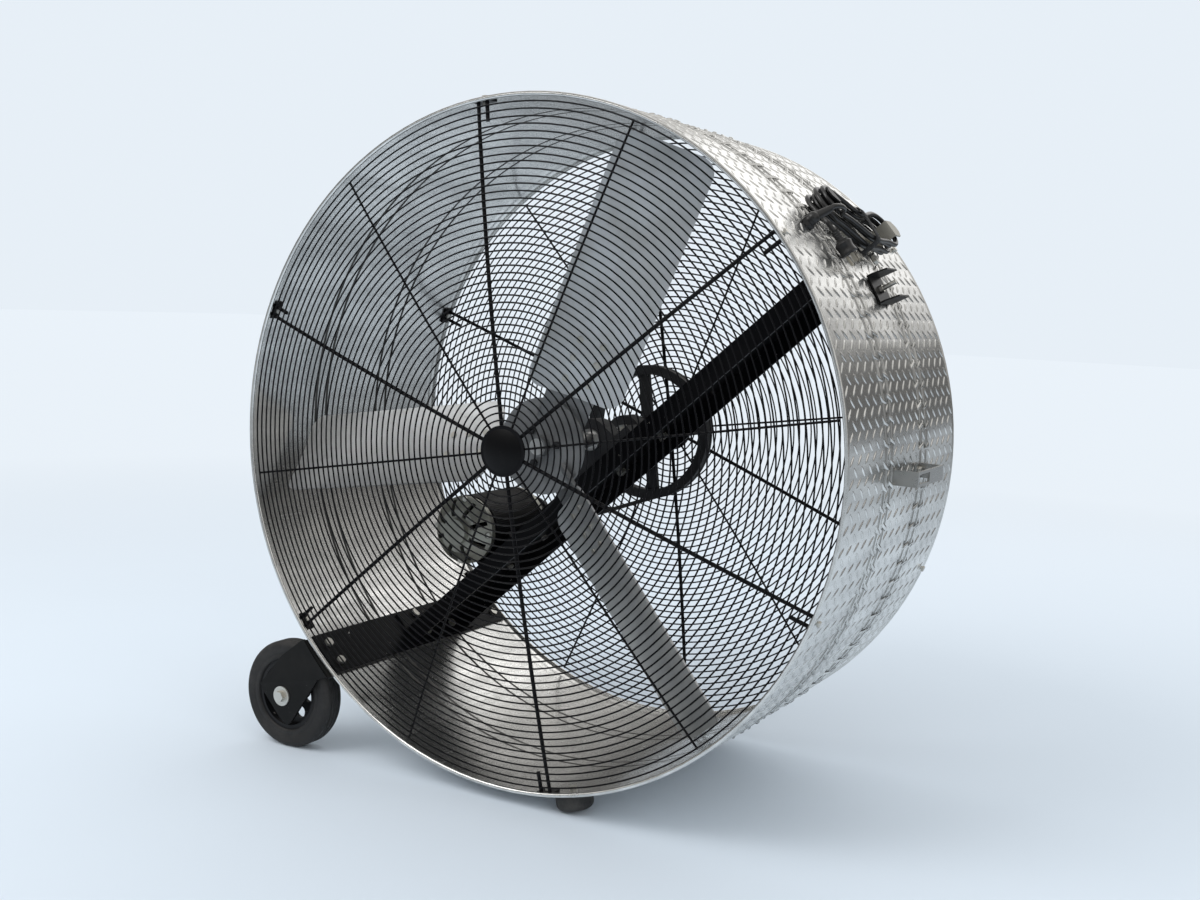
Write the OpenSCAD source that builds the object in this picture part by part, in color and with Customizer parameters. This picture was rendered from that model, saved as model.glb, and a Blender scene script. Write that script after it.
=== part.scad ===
/* [Drum] */
// Outer diameter of the drum over its tread lugs
drum_od = 1232; // [1100:1:1400]
// Length of the drum from rim to rim
drum_len = 604; // [560:1:680]
// Height of the fan's axis over the floor
axis_h = 639; // [635:1:646]
// Thickness of the drum's sheet
sheet_t = 1.5; // [1.2:0.1:3]
// Height of the tread lugs over the sheet
lug_h = 1.5; // [1:0.1:2]
// Radius of the rolled rim edges
hem_r = 4; // [3:0.5:5]
// Depth of the front bead behind the front rim
bead_front_d = 206; // [190:1:220]
// Depth of the rear bead behind the front rim
bead_rear_d = 403; // [390:1:420]
// Distance between the two ridges of a bead
ridge_gap = 32; // [24:1:40]
// Radius of one rolled ridge
ridge_r = 4; // [3.5:0.5:6]

/* [Fits] */
// Gap between pieces that sit on each other
seat = 0.3; // [0.2:0.05:0.4]
// Radial running fit of the turning parts
run_fit = 0.06; // [0.04:0.01:0.1]
// Radial clearance of a bolt in its hole
bolt_fit = 0.3; // [0.2:0.05:0.5]

/* [Guards] */
// Diameter of the ring wires
ring_wire = 3; // [2.5:0.1:3.5]
// Pitch of the ring wires
ring_pitch = 12.7; // [12:0.1:13.5]
// Number of ring wires on a guard
ring_count = 44; // [20:1:44]
// Radius of the outermost ring wire
guard_r = 600; // [590:1:601]
// Rise of a guard from its outer ring to its centre
guard_rise = 32; // [24:1:40]
// Diameter of the thin spokes
thin_rod = 4; // [3.5:0.1:5]
// Diameter of the thick spokes
thick_rod = 7; // [6:0.1:8]
// Angle of the first thick spoke of the front guard
front_spoke_a = 39.6; // [30:0.1:50]
// Angle of the first thick spoke of the rear guard
rear_spoke_a = 38.3; // [30:0.1:50]
// Depth of the outer ring inside the rim
guard_inset = 6; // [4:0.5:9]
// Distance of the short leg beside a thick spoke's end
leg_gap = 18; // [17:0.5:20]
// Length of that short leg
leg_len = 36; // [25:1:40]
// Radius of a guard's centre plate
centre_r = 45; // [42:1:50]
// Thickness of a guard's centre plate
centre_t = 4; // [3.5:0.5:6]
// Radius of the round plate on the front guard
badge_r = 40; // [35:1:42]
// Thickness of the round plate at its middle
badge_t = 7; // [5:0.5:9]
// Width of a guard's tab along the wall
tab_w = 34; // [30:1:40]
// Depth of a guard's tab along the drum
tab_len = 24; // [20:1:30]
// Thickness of a guard's tab
tab_t = 4; // [3:0.5:5]

/* [Propeller] */
// Distance of a blade's straight tip from the fan's axis
tip_r = 582; // [560:1:585]
// Radius of the blade roots
root_r = 106; // [100:1:115]
// Angle of the first blade
blade_a = 68.3; // [0:0.1:119]
// Offset of a blade's front edge ahead of its radius
edge_front_off = 52; // [45:1:55]
// Depth of a blade's front edge
edge_front_d = 50; // [48:1:56]
// Offset of a blade's rear edge behind its radius
edge_rear_off = 89; // [80:1:95]
// Depth of a blade's rear edge
edge_rear_d = 160; // [150:1:165]
// Camber of a blade
camber = 10; // [6:0.5:14]
// Thickness of a blade
blade_t = 3.2; // [2.5:0.1:4]
// Corner radius of a blade
blade_corner_r = 30; // [20:1:40]
// Radius of the spider's disc
disc_r = 88; // [84:1:95]
// Thickness of the spider
spider_t = 7; // [5:0.5:8]
// Depth of the spider disc's front face
disc_d = 100; // [98:1:104]
// Width of a spider arm
arm_w = 90; // [80:1:100]
// Radius at a spider arm's end
arm_end_r = 232; // [200:1:250]
// Radius of the hub's front sleeve
hub_r = 19; // [18:0.5:22]
// Radius of the hub's flange
hub_flange_r = 42; // [40:0.5:45]
// Thickness of the hub's flange
hub_flange_t = 8; // [6:0.5:10]
// Radius of the hub's rear sleeve
hub_rear_r = 26; // [24:0.5:28]
// Depth of the hub's front end
hub_d = 84; // [80:1:88]
// Depth of the hub's rear end
hub_end_d = 150; // [140:1:160]
// Diameter of a blade rivet
rivet_d = 8; // [6:0.5:9]
// Height of a blade rivet's head
rivet_head = 3; // [2:0.5:4]

/* [Shaft and bearings] */
// Diameter of the fan shaft
shaft_d = 30; // [28:0.5:32]
// Depth of the fan shaft's rear end
shaft_end_d = 552; // [545:1:560]
// Depth of the front bearing's middle
bearing_front_d = 299; // [296:1:305]
// Depth of the rear bearing's middle
bearing_rear_d = 433; // [425:1:438]
// Length of a bearing housing's foot
bearing_len = 160; // [150:1:165]
// Width of a bearing housing
bearing_w = 40; // [36:1:44]
// Height of a bearing housing's foot
bearing_foot_h = 16; // [14:1:18]
// Radius of a bearing housing's round part
bearing_r = 40; // [38:0.5:41]
// Radius of a bearing's inner ring
inner_ring_r = 21; // [19:0.5:23]
// Width of a bearing's inner ring
inner_ring_w = 48; // [44:1:52]
// Spacing of a bearing housing's bolts
bearing_bolt_gap = 121; // [116:1:126]

/* [Crossbar] */
// Angle of the crossbar
bar_a = 42; // [40:0.5:44]
// Distance from the fan's axis to the crossbar's face
bar_off = 43; // [43:1:45]
// Depth of the crossbar's front edge
bar_front_d = 271; // [265:1:274]
// Width of the crossbar along the drum
bar_w = 190; // [186:1:200]
// Height of the crossbar's flanges
bar_h = 36; // [33:1:40]
// Thickness of the crossbar's plate
bar_t = 4; // [3:0.5:5]
// Thickness of the crossbar's end feet
foot_t = 5.5; // [5:0.5:6]
// Length of the tongue that each foot has under the crossbar
tongue_len = 60; // [50:1:75]

/* [Motor] */
// Place of the motor along the crossbar, from the fan's axis
motor_s = 350; // [340:1:360]
// Height of the motor's axis over the crossbar's face
motor_h = 76; // [74:1:80]
// Radius of the motor's body
motor_r = 69; // [66:0.5:70]
// Depth of the motor body's front end
motor_d = 282; // [278:1:286]
// Length of the motor's body
motor_len = 176; // [170:1:180]
// Length of the front end bell
bell_front_len = 34; // [30:1:40]
// Length of the rear end bell
bell_rear_len = 30; // [26:1:34]
// Radius of an end bell's boss
boss_r = 26; // [24:0.5:28]
// Length of an end bell's boss
boss_len = 13; // [10:1:14]
// Thickness of an end bell's wall
bell_t = 5; // [4:0.5:6]
// Diameter of the motor shaft
motor_shaft_d = 16; // [15:0.5:18]
// Width of the motor's base plate
base_w = 150; // [140:1:160]
// Depth of the motor's base plate
base_depth = 140; // [130:1:150]
// Thickness of the motor's base plate
base_t = 3; // [2.5:0.5:4]

/* [Belt drive] */
// Radius of the large sheave
sheave_r = 139; // [134:0.5:142]
// Width of a sheave's rim
sheave_w = 25; // [22:1:28]
// Depth of the belt's middle plane
belt_plane_d = 524; // [520:1:528]
// Radius of the motor pulley
pulley_r = 42; // [38:0.5:46]
// Width of the belt
belt_w = 12; // [11:0.5:13]
// Thickness of the belt
belt_t = 8; // [7:0.5:9]
// Depth of the belt's back below a rim's edge
belt_sink = 1; // [0.5:0.5:2]
// Radial thickness of the large sheave's rim
rim_t = 19; // [17:1:22]
// Radius of the large sheave's hub
sheave_hub_r = 33; // [30:1:36]
// Width of a sheave spoke
sheave_spoke_w = 24; // [20:1:28]
// Thickness of a sheave spoke
sheave_spoke_t = 10; // [8:1:12]
// Angle of the first sheave spoke
sheave_spoke_a = 8; // [0:1:89]

/* [Wheels] */
// Radius of a wheel
wheel_r = 106; // [103:0.5:108]
// Width of a tyre
tyre_w = 48; // [44:1:50]
// Radius of the rim under the tyre
rim_r = 70; // [66:0.5:74]
// Distance from the fan's axis to a wheel's axle
wheel_reach = 736; // [734:1:742]
// Diameter of an axle bolt
axle_d = 12; // [10:0.5:14]
// Radius of the washer under an axle bolt's head
washer_r = 19.5; // [18:0.5:21]
// Thickness of that washer
washer_t = 2.5; // [2:0.5:3]
// Thickness of a wheel bracket
bracket_t = 5; // [4:0.5:6]
// Gap between a wheel bracket and its tyre
bracket_gap = 6; // [5.5:0.5:7]
// Tilt of a bracket's upper face
fold_tilt = 4.5; // [3:0.5:5]
// Lean of a bracket's fold against the level
fold_a = 12.65; // [12:0.05:13]
// Length of a bracket's fold
fold_len = 151; // [145:1:155]
// Place of the axle along the fold
axle_along = 53; // [48:1:58]
// Drop of the axle under the fold
axle_drop = 27; // [25:1:30]
// Drop of a bracket's lower corner under the fold
apex_drop = 85; // [80:1:90]
// Width of the strap along the wall
strap_w = 90; // [86:1:92]
// Thickness of the strap
strap_t = 5.5; // [5:0.5:6]
// Depth of the strap's bolts behind each rim
strap_bolt_d = 37; // [34:1:44]
// Spacing of the strap's bolts across it
strap_bolt_gap = 44; // [40:1:50]

/* [Feet] */
// Angle of the rubber feet
foot_a = 282; // [278:0.5:284]
// Depth of a foot behind its rim
foot_d = 49; // [45:1:60]
// Radius of a rubber foot
foot_r = 34; // [30:0.5:36]
// Edge radius of a rubber foot
foot_round = 12; // [8:0.5:14]

/* [Handle and cord wraps] */
// Angle of the pull handle
handle_a = -0.5; // [-3:0.1:3]
// Depth of the handle's front end
handle_d = 225; // [225:1:228]
// Length of the handle
handle_len = 150; // [140:1:160]
// Width of the handle's strap
handle_w = 26; // [22:1:32]
// Stand-off of the handle from the wall
handle_h = 43; // [38:1:48]
// Thickness of the handle's strap
handle_t = 4; // [3:0.5:5]
// Length of a handle foot
handle_foot = 28; // [26:1:32]
// Length of the slot in the handle
slot_len = 60; // [50:1:70]
// Width of the slot in the handle
slot_w = 16; // [14:1:18]
// Angle of the free cord wrap
wrap_low_a = 29.75; // [28:0.25:31]
// Depth of the free cord wrap
wrap_low_d = 302; // [295:1:310]
// Length of the free cord wrap along the drum
wrap_len = 66; // [60:1:72]
// Width of a cord wrap along the wall
wrap_w = 55; // [50:1:60]
// Height of a cord wrap
wrap_h = 32; // [28:1:38]
// Thickness of a cord wrap's plate
wrap_t = 3; // [2.5:0.5:4]
// Depth of the front hank bracket
horn_front_d = 256; // [254:1:258]
// Depth of the rear hank bracket
horn_rear_d = 450; // [448:1:452]
// Angle of the front hank bracket
horn_front_a = 44.5; // [44:0.1:45]
// Angle of the rear hank bracket
horn_rear_a = 39.5; // [39:0.1:40]
// Width of a hank bracket
horn_w = 34; // [30:1:35]
// Length of the front bracket's lip
lip_front = 22; // [18:1:28]
// Length of the rear bracket's lip
lip_rear = 40; // [28:1:44]
// Length of a hank bracket's foot
horn_foot = 28; // [26:1:32]
// Height of a hank bracket
horn_h = 47; // [46.5:0.5:52]

/* [Cord] */
// Angle of the cord gland
gland_a = 41.5; // [41:0.1:42]
// Depth of the cord gland
gland_d = 160; // [155:1:165]
// Diameter of the cord
cord_d = 9; // [8:0.5:10]
// Sag of the hank's middle down the wall
hank_sag = 24; // [16:1:26]

/* [Hidden] */

// Fineness of large, common and small round shapes, and the sides of a ring wire
FINE = 180;
ROUND = 72;
SMALL = 24;
WIRE = 8;

// Radii of the drum
drum_r = drum_od / 2;
sheet_r = drum_r - lug_h;
wall_r = sheet_r - sheet_t;
on_wall = drum_r + seat;
ridge_top_r = wall_r + ridge_r;

// Guard arcs: the ring wires lie outside the spokes
arc_r = (guard_r * guard_r + guard_rise * guard_rise) / (2 * guard_rise);
rod_gap = 0.2;
thin_off = (ring_wire + thin_rod) / 2 + rod_gap;
thick_off = (ring_wire + thick_rod) / 2 + rod_gap;
centre_out = guard_rise - guard_inset + ring_wire / 2;
tab_in = 2 * hem_r + seat;
tab_turn = turn_of(leg_gap / 2, wall_r);

// How far the part reaches past the rims, and the place of its axis and front rim
front_reach = centre_out + badge_t;
rear_reach = centre_out;
handle_reach = on_wall + handle_h;
axis_x = (ridge_top_r - handle_reach) / 2;
front_y = (front_reach - rear_reach - drum_len) / 2;
mid_y = front_y + drum_len / 2;

// Fasteners: shank diameter, width over the flats and head height
M6 = [6, 10, 4.5];
M8 = [8, 13, 5.5];
M10 = [10, 16, 6.5];
M12 = [12, 19, 8];

// Wheels and feet
wheel_a = 180 + asin((axis_h - wheel_r) / wheel_reach);
bracket_d = -bracket_gap - bracket_t;
strap_half_a = turn_of(strap_w / 2, wall_r);
foot_lean = foot_a - 270;
foot_flat = foot_r - foot_round;
foot_edge_r = (axis_h - foot_round - foot_flat * sin(foot_lean)) / cos(foot_lean);
foot_end_r = foot_edge_r + foot_round;

// Crossbar ends
strap_in_r = wall_r - seat - strap_t;
up_foot_r = wall_r - seat - foot_t;
low_foot_r = strap_in_r - seat - foot_t;
foot_near = 8;
foot_far = 88;
foot_bolt_n = [18, 66];
foot_bolt_d = [bar_front_d + 45, bead_rear_d];

// Propeller
chord = norm([edge_front_off + edge_rear_off, edge_rear_d - edge_front_d]);
chord_a = atan2(-edge_front_off - edge_rear_off, edge_rear_d - edge_front_d);
chord_mid_off = (edge_front_off - edge_rear_off) / 2;
chord_mid_d = (edge_front_d + edge_rear_d) / 2;
camber_r = (chord * chord / 4 + camber * camber) / (2 * camber);
hub_bolt_r = 34;
rivet_along = [135, 175, 210];
rivet_across = 22;

// Belt drive
motor_n = motor_h - bar_off;
belt_len = norm([motor_s, motor_n]);
belt_a = atan2(motor_n, -motor_s);
belt_lean = acos((sheave_r - pulley_r) / belt_len);
groove_gap = 0.4;

function turn_of(arc, r) = arc / r * 180 / PI;

// Places children in frames of the drum: depth counts from the front rim
module turned() {
  translate([axis_x, front_y, axis_h]) rotate([-90, 0, 0]) children();
}
module spun(a) {
  translate([axis_x, front_y, axis_h]) rotate([0, -a, 0]) children();
}
module radial(a, d) {
  translate([axis_x, front_y + d, axis_h]) rotate([0, 90 - a, 0]) children();
}
module mirrored_ends() {
  translate([0, 2 * mid_y, 0]) mirror([0, 1, 0]) children();
}
module plate_at(d, t) {
  translate([0, d + t, 0]) rotate([90, 0, 0]) linear_extrude(t) children();
}
module axial(d, r, h, fn = ROUND) {
  translate([0, d, 0]) rotate([-90, 0, 0]) cylinder(r = r, h = h, $fn = fn);
}
module wall_band(r0, r1, a0, a1, d0, d1) {
  turned() rotate([0, 0, -a1])
    rotate_extrude(angle = a1 - a0, $fn = FINE)
      translate([r0, d0]) square([r1 - r0, d1 - d0]);
}
module hex(flats, h) {
  cylinder(r = flats / sqrt(3), h = h, $fn = 6);
}
// A bolt along Z: its head's underside at z1, its nut's upper side at z0
module bolt(size, z0, z1) {
  translate([0, 0, z0 - size[2]]) cylinder(d = size[0], h = z1 - z0 + size[2], $fn = SMALL);
  translate([0, 0, z1]) hex(size[1], size[2]);
  translate([0, 0, z0 - size[2]]) hex(size[1], size[2]);
}
module bolt_hole(size, z0, z1) {
  translate([0, 0, z0]) cylinder(r = size[0] / 2 + bolt_fit, h = z1 - z0, $fn = SMALL);
}

// Places of the wall's bolts: angle and depth
guard_bolt_in = tab_in + tab_len / 2;
front_tabs_at = [
  for (k = [0:5]) [front_spoke_a + 60 * k - tab_turn, guard_bolt_in]
];
rear_tabs_at = [
  for (k = [0:5]) [rear_spoke_a + 60 * k + tab_turn, drum_len - guard_bolt_in]
];
guard_bolts_at = concat(front_tabs_at, rear_tabs_at);
strap_bolt_a = turn_of(strap_bolt_gap / 2, wall_r);
strap_bolts_at = [
  for (s = [-1, 1], d = [strap_bolt_d, drum_len - strap_bolt_d])
    [wheel_a + s * strap_bolt_a, d]
];
low_bolts_at = [
  for (n = foot_bolt_n, d = foot_bolt_d) [180 + bar_a + asin(n / wall_r), d]
];
up_bolts_at = [for (n = foot_bolt_n, d = foot_bolt_d) [bar_a - asin(n / wall_r), d]];
feet_at = [[foot_a, foot_d], [foot_a, drum_len - foot_d]];
horn_bolt_x = 8;
horn_bolt_y = 16;
hank_a = (horn_front_a + horn_rear_a) / 2;
hank_d = (horn_front_d + horn_rear_d) / 2;
handle_bolts_at = [
  for (d = [handle_d + horn_bolt_y, handle_d + handle_len - horn_bolt_y]) [handle_a, d]
];
horn_front_bolts_at = [for (s = [-1, 1])
  [horn_front_a + s * turn_of(horn_bolt_x, wall_r), horn_front_d + horn_bolt_y]];
horn_rear_bolts_at = [for (s = [-1, 1])
  [horn_rear_a + s * turn_of(horn_bolt_x, wall_r), horn_rear_d - horn_bolt_y]];
wrap_bolt_at = [wrap_low_a, wrap_low_d + wrap_len / 2];
gland_r = 9;

// Drum: a sheet with two double beads, rolled edges and its bolt holes
module drum_profile() {
  difference() {
    union() {
      translate([wall_r, 0]) square([sheet_t, drum_len]);
      for (d = [bead_front_d, bead_rear_d], s = [-1, 1])
        translate([wall_r, d + s * ridge_gap / 2]) circle(ridge_r, $fn = ROUND);
    }
    for (d = [bead_front_d, bead_rear_d], s = [-1, 1])
      translate([wall_r, d + s * ridge_gap / 2]) circle(ridge_r - sheet_t, $fn = ROUND);
    translate([wall_r - 2 * ridge_r, 0]) square([2 * ridge_r, drum_len]);
  }
  for (d = [hem_r, drum_len - hem_r])
    translate([drum_r - hem_r, d]) circle(hem_r, $fn = ROUND);
}
module drum_shell() {
  color("lightgray")
    difference() {
      turned() rotate_extrude($fn = FINE) drum_profile();
      for (p = guard_bolts_at)
        radial(p[0], p[1]) bolt_hole(M6, wall_r - sheet_t, on_wall);
      for (p = concat(strap_bolts_at, low_bolts_at, up_bolts_at))
        radial(p[0], p[1]) bolt_hole(M10, wall_r - sheet_t, on_wall);
      for (p = concat(feet_at, handle_bolts_at, horn_front_bolts_at, horn_rear_bolts_at,
          [wrap_bolt_at]))
        radial(p[0], p[1]) bolt_hole(M8, wall_r - sheet_t, on_wall);
      radial(gland_a, gland_d)
        translate([0, 0, wall_r - sheet_t])
          cylinder(r = gland_r + bolt_fit, h = on_wall - wall_r + sheet_t, $fn = ROUND);
    }
}

// Guards: concentric rings on arched spokes, built for the front. A thick spoke and
// the short leg beside it end in a tab on the wall.
tab_in_r = wall_r - seat - tab_t;
function arc_turn(off, r) = asin(r / (arc_r - off));
module arc_centre() {
  translate([0, arc_r + guard_inset - guard_rise, 0]) children();
}
module arched_rod(off, rod, r0, r1) {
  turn0 = arc_turn(off, r0);
  turn1 = arc_turn(off, r1);
  arc_centre() rotate([180, 0, 0]) rotate([0, 0, 90 - turn1])
    rotate_extrude(angle = turn1 - turn0, $fn = 4 * FINE)
      translate([arc_r - off, 0]) circle(d = rod, $fn = SMALL);
}
module short_leg() {
  turn = arc_turn(thick_off, tab_in_r - leg_len);
  arc_centre() rotate([0, 0, turn]) translate([0, thick_off - arc_r, -leg_gap])
    rotate([0, 90, 0]) cylinder(d = thick_rod, h = leg_len + tab_t / 2, $fn = SMALL);
}
module guard_frame(first_a, hand) {
  for (k = [0:5]) {
    spun(first_a + 60 * k) {
      arched_rod(thick_off, thick_rod, centre_r / 2, tab_in_r + tab_t / 2);
      mirror([0, 0, hand]) short_leg();
    }
    spun(first_a + 30 + 60 * k) arched_rod(thin_off, thin_rod, centre_r / 2, guard_r);
  }
  spun(0) axial(-centre_out, centre_r, centre_t);
}
module guard_tabs(places) {
  difference() {
    for (p = places)
      wall_band(tab_in_r, wall_r - seat, p[0] - turn_of(tab_w / 2, wall_r),
        p[0] + turn_of(tab_w / 2, wall_r), p[1] - tab_len / 2, p[1] + tab_len / 2);
    for (p = places)
      radial(p[0], p[1]) bolt_hole(M6, tab_in_r - tab_t, on_wall);
  }
}
module guard_rings() {
  color("black") spun(0)
    for (k = [0:ring_count - 1]) {
      r = guard_r - k * ring_pitch;
      translate([0, arc_r + guard_inset - guard_rise - sqrt(arc_r * arc_r - r * r), 0])
        rotate([-90, 0, 0]) rotate_extrude($fn = FINE)
          translate([r, 0]) circle(d = ring_wire, $fn = WIRE);
    }
}
module front_guard_frame() {
  color("black") {
    guard_frame(front_spoke_a, 0);
    guard_tabs(front_tabs_at);
  }
}
module rear_guard_frame() {
  color("black") {
    mirrored_ends() guard_frame(rear_spoke_a, 1);
    guard_tabs(rear_tabs_at);
  }
}
module front_guard_rings() {
  guard_rings();
}
module rear_guard_rings() {
  mirrored_ends() guard_rings();
}
module guard_badge() {
  ball_r = (badge_r * badge_r + badge_t * badge_t) / (2 * badge_t);
  color("black") spun(0) translate([0, -centre_out - seat, 0]) rotate([90, 0, 0])
    rotate_extrude($fn = ROUND) intersection() {
      translate([0, badge_t - seat - ball_r]) circle(ball_r, $fn = FINE);
      square([badge_r, badge_t]);
    }
}

module guard_bolts() {
  color("silver") for (p = guard_bolts_at)
    radial(p[0], p[1]) bolt(M6, tab_in_r - seat, on_wall);
}

// Crossbar: a channel, open to the lower right, with a foot at each wall
module bar_box(s0, s1, d0, d1, n0, n1) {
  translate([s0, d0, n0]) cube([s1 - s0, d1 - d0, n1 - n0]);
}
bar_end_d = bar_front_d + bar_w;
bearing_bolt_s = bearing_bolt_gap / 2;
base_bolt_s = [-55, 55];
base_bolt_d = [12, 128];
base_d = motor_d + (motor_len - base_depth) / 2;
module face_bolts() {
  for (s = [-bearing_bolt_s, bearing_bolt_s], d = [bearing_front_d, bearing_rear_d])
    translate([s, d, 0]) children(0);
}
module base_bolts() {
  for (s = base_bolt_s, d = base_bolt_d)
    translate([s - motor_s, base_d + d, 0]) children(0);
}
module crossbar() {
  color([0.09, 0.09, 0.09]) difference() {
    spun(bar_a) difference() {
      intersection() {
        bar_box(-drum_r, drum_r, bar_front_d, bar_end_d, -bar_off - bar_h, -bar_off);
        axial(0, up_foot_r - seat, drum_len, FINE);
      }
      bar_box(-drum_r, drum_r, bar_front_d + bar_t, bar_end_d - bar_t,
        -bar_off - 2 * bar_h, -bar_off - bar_t);
      face_bolts() bolt_hole(M12, -bar_off - bar_h, 0);
      base_bolts() bolt_hole(M8, -bar_off - bar_h, 0);
    }
    wall_band(low_foot_r - seat, drum_r, 180, 270, 0, drum_len);
  }
}
module bar_foot(r0, r1, a0, a1, s0, s1) {
  wall_band(r0, r1, a0, a1, bar_front_d - foot_near, bar_end_d + foot_near);
  intersection() {
    spun(bar_a)
      bar_box(s0, s1, bar_front_d + 2 * bar_t, bar_end_d - 2 * bar_t,
        -bar_off - bar_t - seat - foot_t, -bar_off - bar_t - seat);
    spun(0) axial(0, (r0 + r1) / 2, drum_len, FINE);
  }
}
module crossbar_foot_upper() {
  color([0.12, 0.12, 0.12]) difference() {
    bar_foot(up_foot_r, wall_r - seat, bar_a - asin(foot_far / wall_r),
      bar_a - asin(foot_near / wall_r), up_foot_r - tongue_len, drum_r);
    for (p = up_bolts_at)
      radial(p[0], p[1]) bolt_hole(M10, up_foot_r - foot_t, wall_r);
    for (p = horn_rear_bolts_at)
      radial(p[0], p[1]) bolt_hole(M8, up_foot_r - foot_t, wall_r);
  }
}
module crossbar_foot_lower() {
  color([0.12, 0.12, 0.12]) difference() {
    bar_foot(low_foot_r, strap_in_r - seat, 180 + bar_a + asin(foot_near / wall_r),
      180 + bar_a + asin(foot_far / wall_r), -drum_r, tongue_len - low_foot_r);
    for (p = low_bolts_at)
      radial(p[0], p[1]) bolt_hole(M10, low_foot_r - foot_t, wall_r);
  }
}
module crossbar_bolts() {
  color("silver") {
    for (p = up_bolts_at) radial(p[0], p[1]) bolt(M10, up_foot_r - seat, on_wall);
    for (p = low_bolts_at) radial(p[0], p[1]) bolt(M10, low_foot_r - seat, on_wall);
  }
}

// Strap along the wall and the wheel brackets that its end bolts also hold
module wheel_strap() {
  color([0.08, 0.08, 0.08]) difference() {
    wall_band(strap_in_r, wall_r - seat, wheel_a - strap_half_a, wheel_a + strap_half_a,
      2 * hem_r + seat, drum_len - 2 * hem_r - seat);
    for (p = concat(strap_bolts_at, low_bolts_at))
      radial(p[0], p[1]) bolt_hole(M10, strap_in_r - strap_t, wall_r);
  }
}
module strap_bolts() {
  color("silver") for (p = strap_bolts_at)
    radial(p[0], p[1])
      bolt(M10, strap_in_r - seat, on_wall + bracket_t + seat);
}
flange_d = 62;
axle_x = wheel_reach * cos(wheel_a);
axle_z = wheel_reach * sin(wheel_a);
module at_axle() {
  translate([axis_x + axle_x, front_y, axis_h + axle_z]) children();
}
module on_fold() {
  at_axle() rotate([0, -fold_a, 0]) translate([-axle_along, bracket_d, axle_drop]) children();
}
// The folded plate in shares of the fold's length
fold_shares = [[0, 0], [0.05, -0.12], [0.28, -0.5], [0.36, -0.56], [0.43, -0.54], [1, 0],
  [1.25, 0.04], [1.1, 0.58], [0.8, 0.52], [0.42, 0.34]];
module folded_plate() {
  lean = [sin(fold_tilt), cos(fold_tilt)];
  face = [lean[1], -lean[0]];
  intersection() {
    plate_at(-bracket_t, 8 * bracket_t) polygon(fold_len * fold_shares);
    translate([-fold_len, 0, 0]) rotate([90, 0, 90]) linear_extrude(4 * fold_len)
      polygon([[0, -fold_len], [0, 0], fold_len * lean, fold_len * lean + bracket_t * face,
        [bracket_t, -bracket_t * tan(fold_tilt / 2)], [bracket_t, -fold_len]]);
  }
}
module wheel_bracket() {
  difference() {
    union() {
      difference() {
        on_fold() folded_plate();
        turned() translate([0, 0, -fold_len])
          cylinder(r = on_wall + bracket_t / 2, h = 2 * fold_len, $fn = FINE);
      }
      difference() {
        wall_band(on_wall, on_wall + bracket_t, wheel_a - strap_half_a,
          wheel_a + strap_half_a, bracket_d + bracket_t / 4, flange_d);
        on_fold() rotate([-fold_tilt, 0, 0])
          translate([-fold_len, bracket_t / 2 - 2 * fold_len, -fold_len])
            cube([4 * fold_len, 2 * fold_len, 4 * fold_len]);
      }
    }
    at_axle() axial(2 * bracket_d, axle_d / 2 + run_fit, flange_d);
    for (p = strap_bolts_at)
      radial(p[0], p[1]) bolt_hole(M10, on_wall - foot_t, on_wall + 2 * bracket_t);
  }
}
module wheel_bracket_front() {
  color([0.16, 0.16, 0.16]) wheel_bracket();
}
module wheel_bracket_rear() {
  color([0.16, 0.16, 0.16]) mirrored_ends() wheel_bracket();
}

// Wheels: a bolt through the bracket, a grooved tyre on a hub with openings
hub_out = 4;
nut_d = tyre_w + hub_out + seat;
module axle_bolt() {
  at_axle() {
    axial(bracket_d - washer_t, axle_d / 2, nut_d + M12[2] + washer_t - bracket_d + washer_t);
    axial(bracket_d - washer_t - run_fit, washer_r, washer_t);
    translate([0, bracket_d - washer_t, 0]) rotate([90, 0, 0]) hex(M12[1], M12[2]);
  }
}
module axle_nut() {
  at_axle() difference() {
    union() {
      axial(nut_d, washer_r * 2 / 3, washer_t);
      translate([0, nut_d + washer_t + M12[2], 0]) rotate([90, 0, 0]) hex(M12[1], M12[2]);
    }
    axial(0, axle_d / 2 + run_fit, 2 * tyre_w);
  }
}
module axle_bolt_front() {
  color("silver") axle_bolt();
}
module axle_bolt_rear() {
  color("silver") mirrored_ends() axle_bolt();
}
module axle_nuts() {
  color("silver") {
    axle_nut();
    mirrored_ends() axle_nut();
  }
}
shoulder_r = 12;
groove_w = 3;
groove_deep = 3;
module tyre_profile() {
  difference() {
    union() {
      translate([rim_r + seat / 2, 0]) square([wheel_r - shoulder_r - rim_r, tyre_w]);
      translate([rim_r + seat / 2, shoulder_r])
        square([wheel_r - rim_r - seat / 2, tyre_w - 2 * shoulder_r]);
      for (d = [shoulder_r, tyre_w - shoulder_r])
        translate([wheel_r - shoulder_r, d]) circle(shoulder_r, $fn = ROUND);
    }
    for (s = [-1, 0, 1])
      translate([wheel_r - groove_deep, tyre_w / 2 + s * 3 * groove_w - groove_w / 2])
        square([2 * groove_deep, groove_w]);
  }
}
module tyre() {
  at_axle() rotate([-90, 0, 0]) rotate_extrude($fn = FINE) tyre_profile();
}
web_t = 8;
hub_boss_r = 20;
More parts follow.
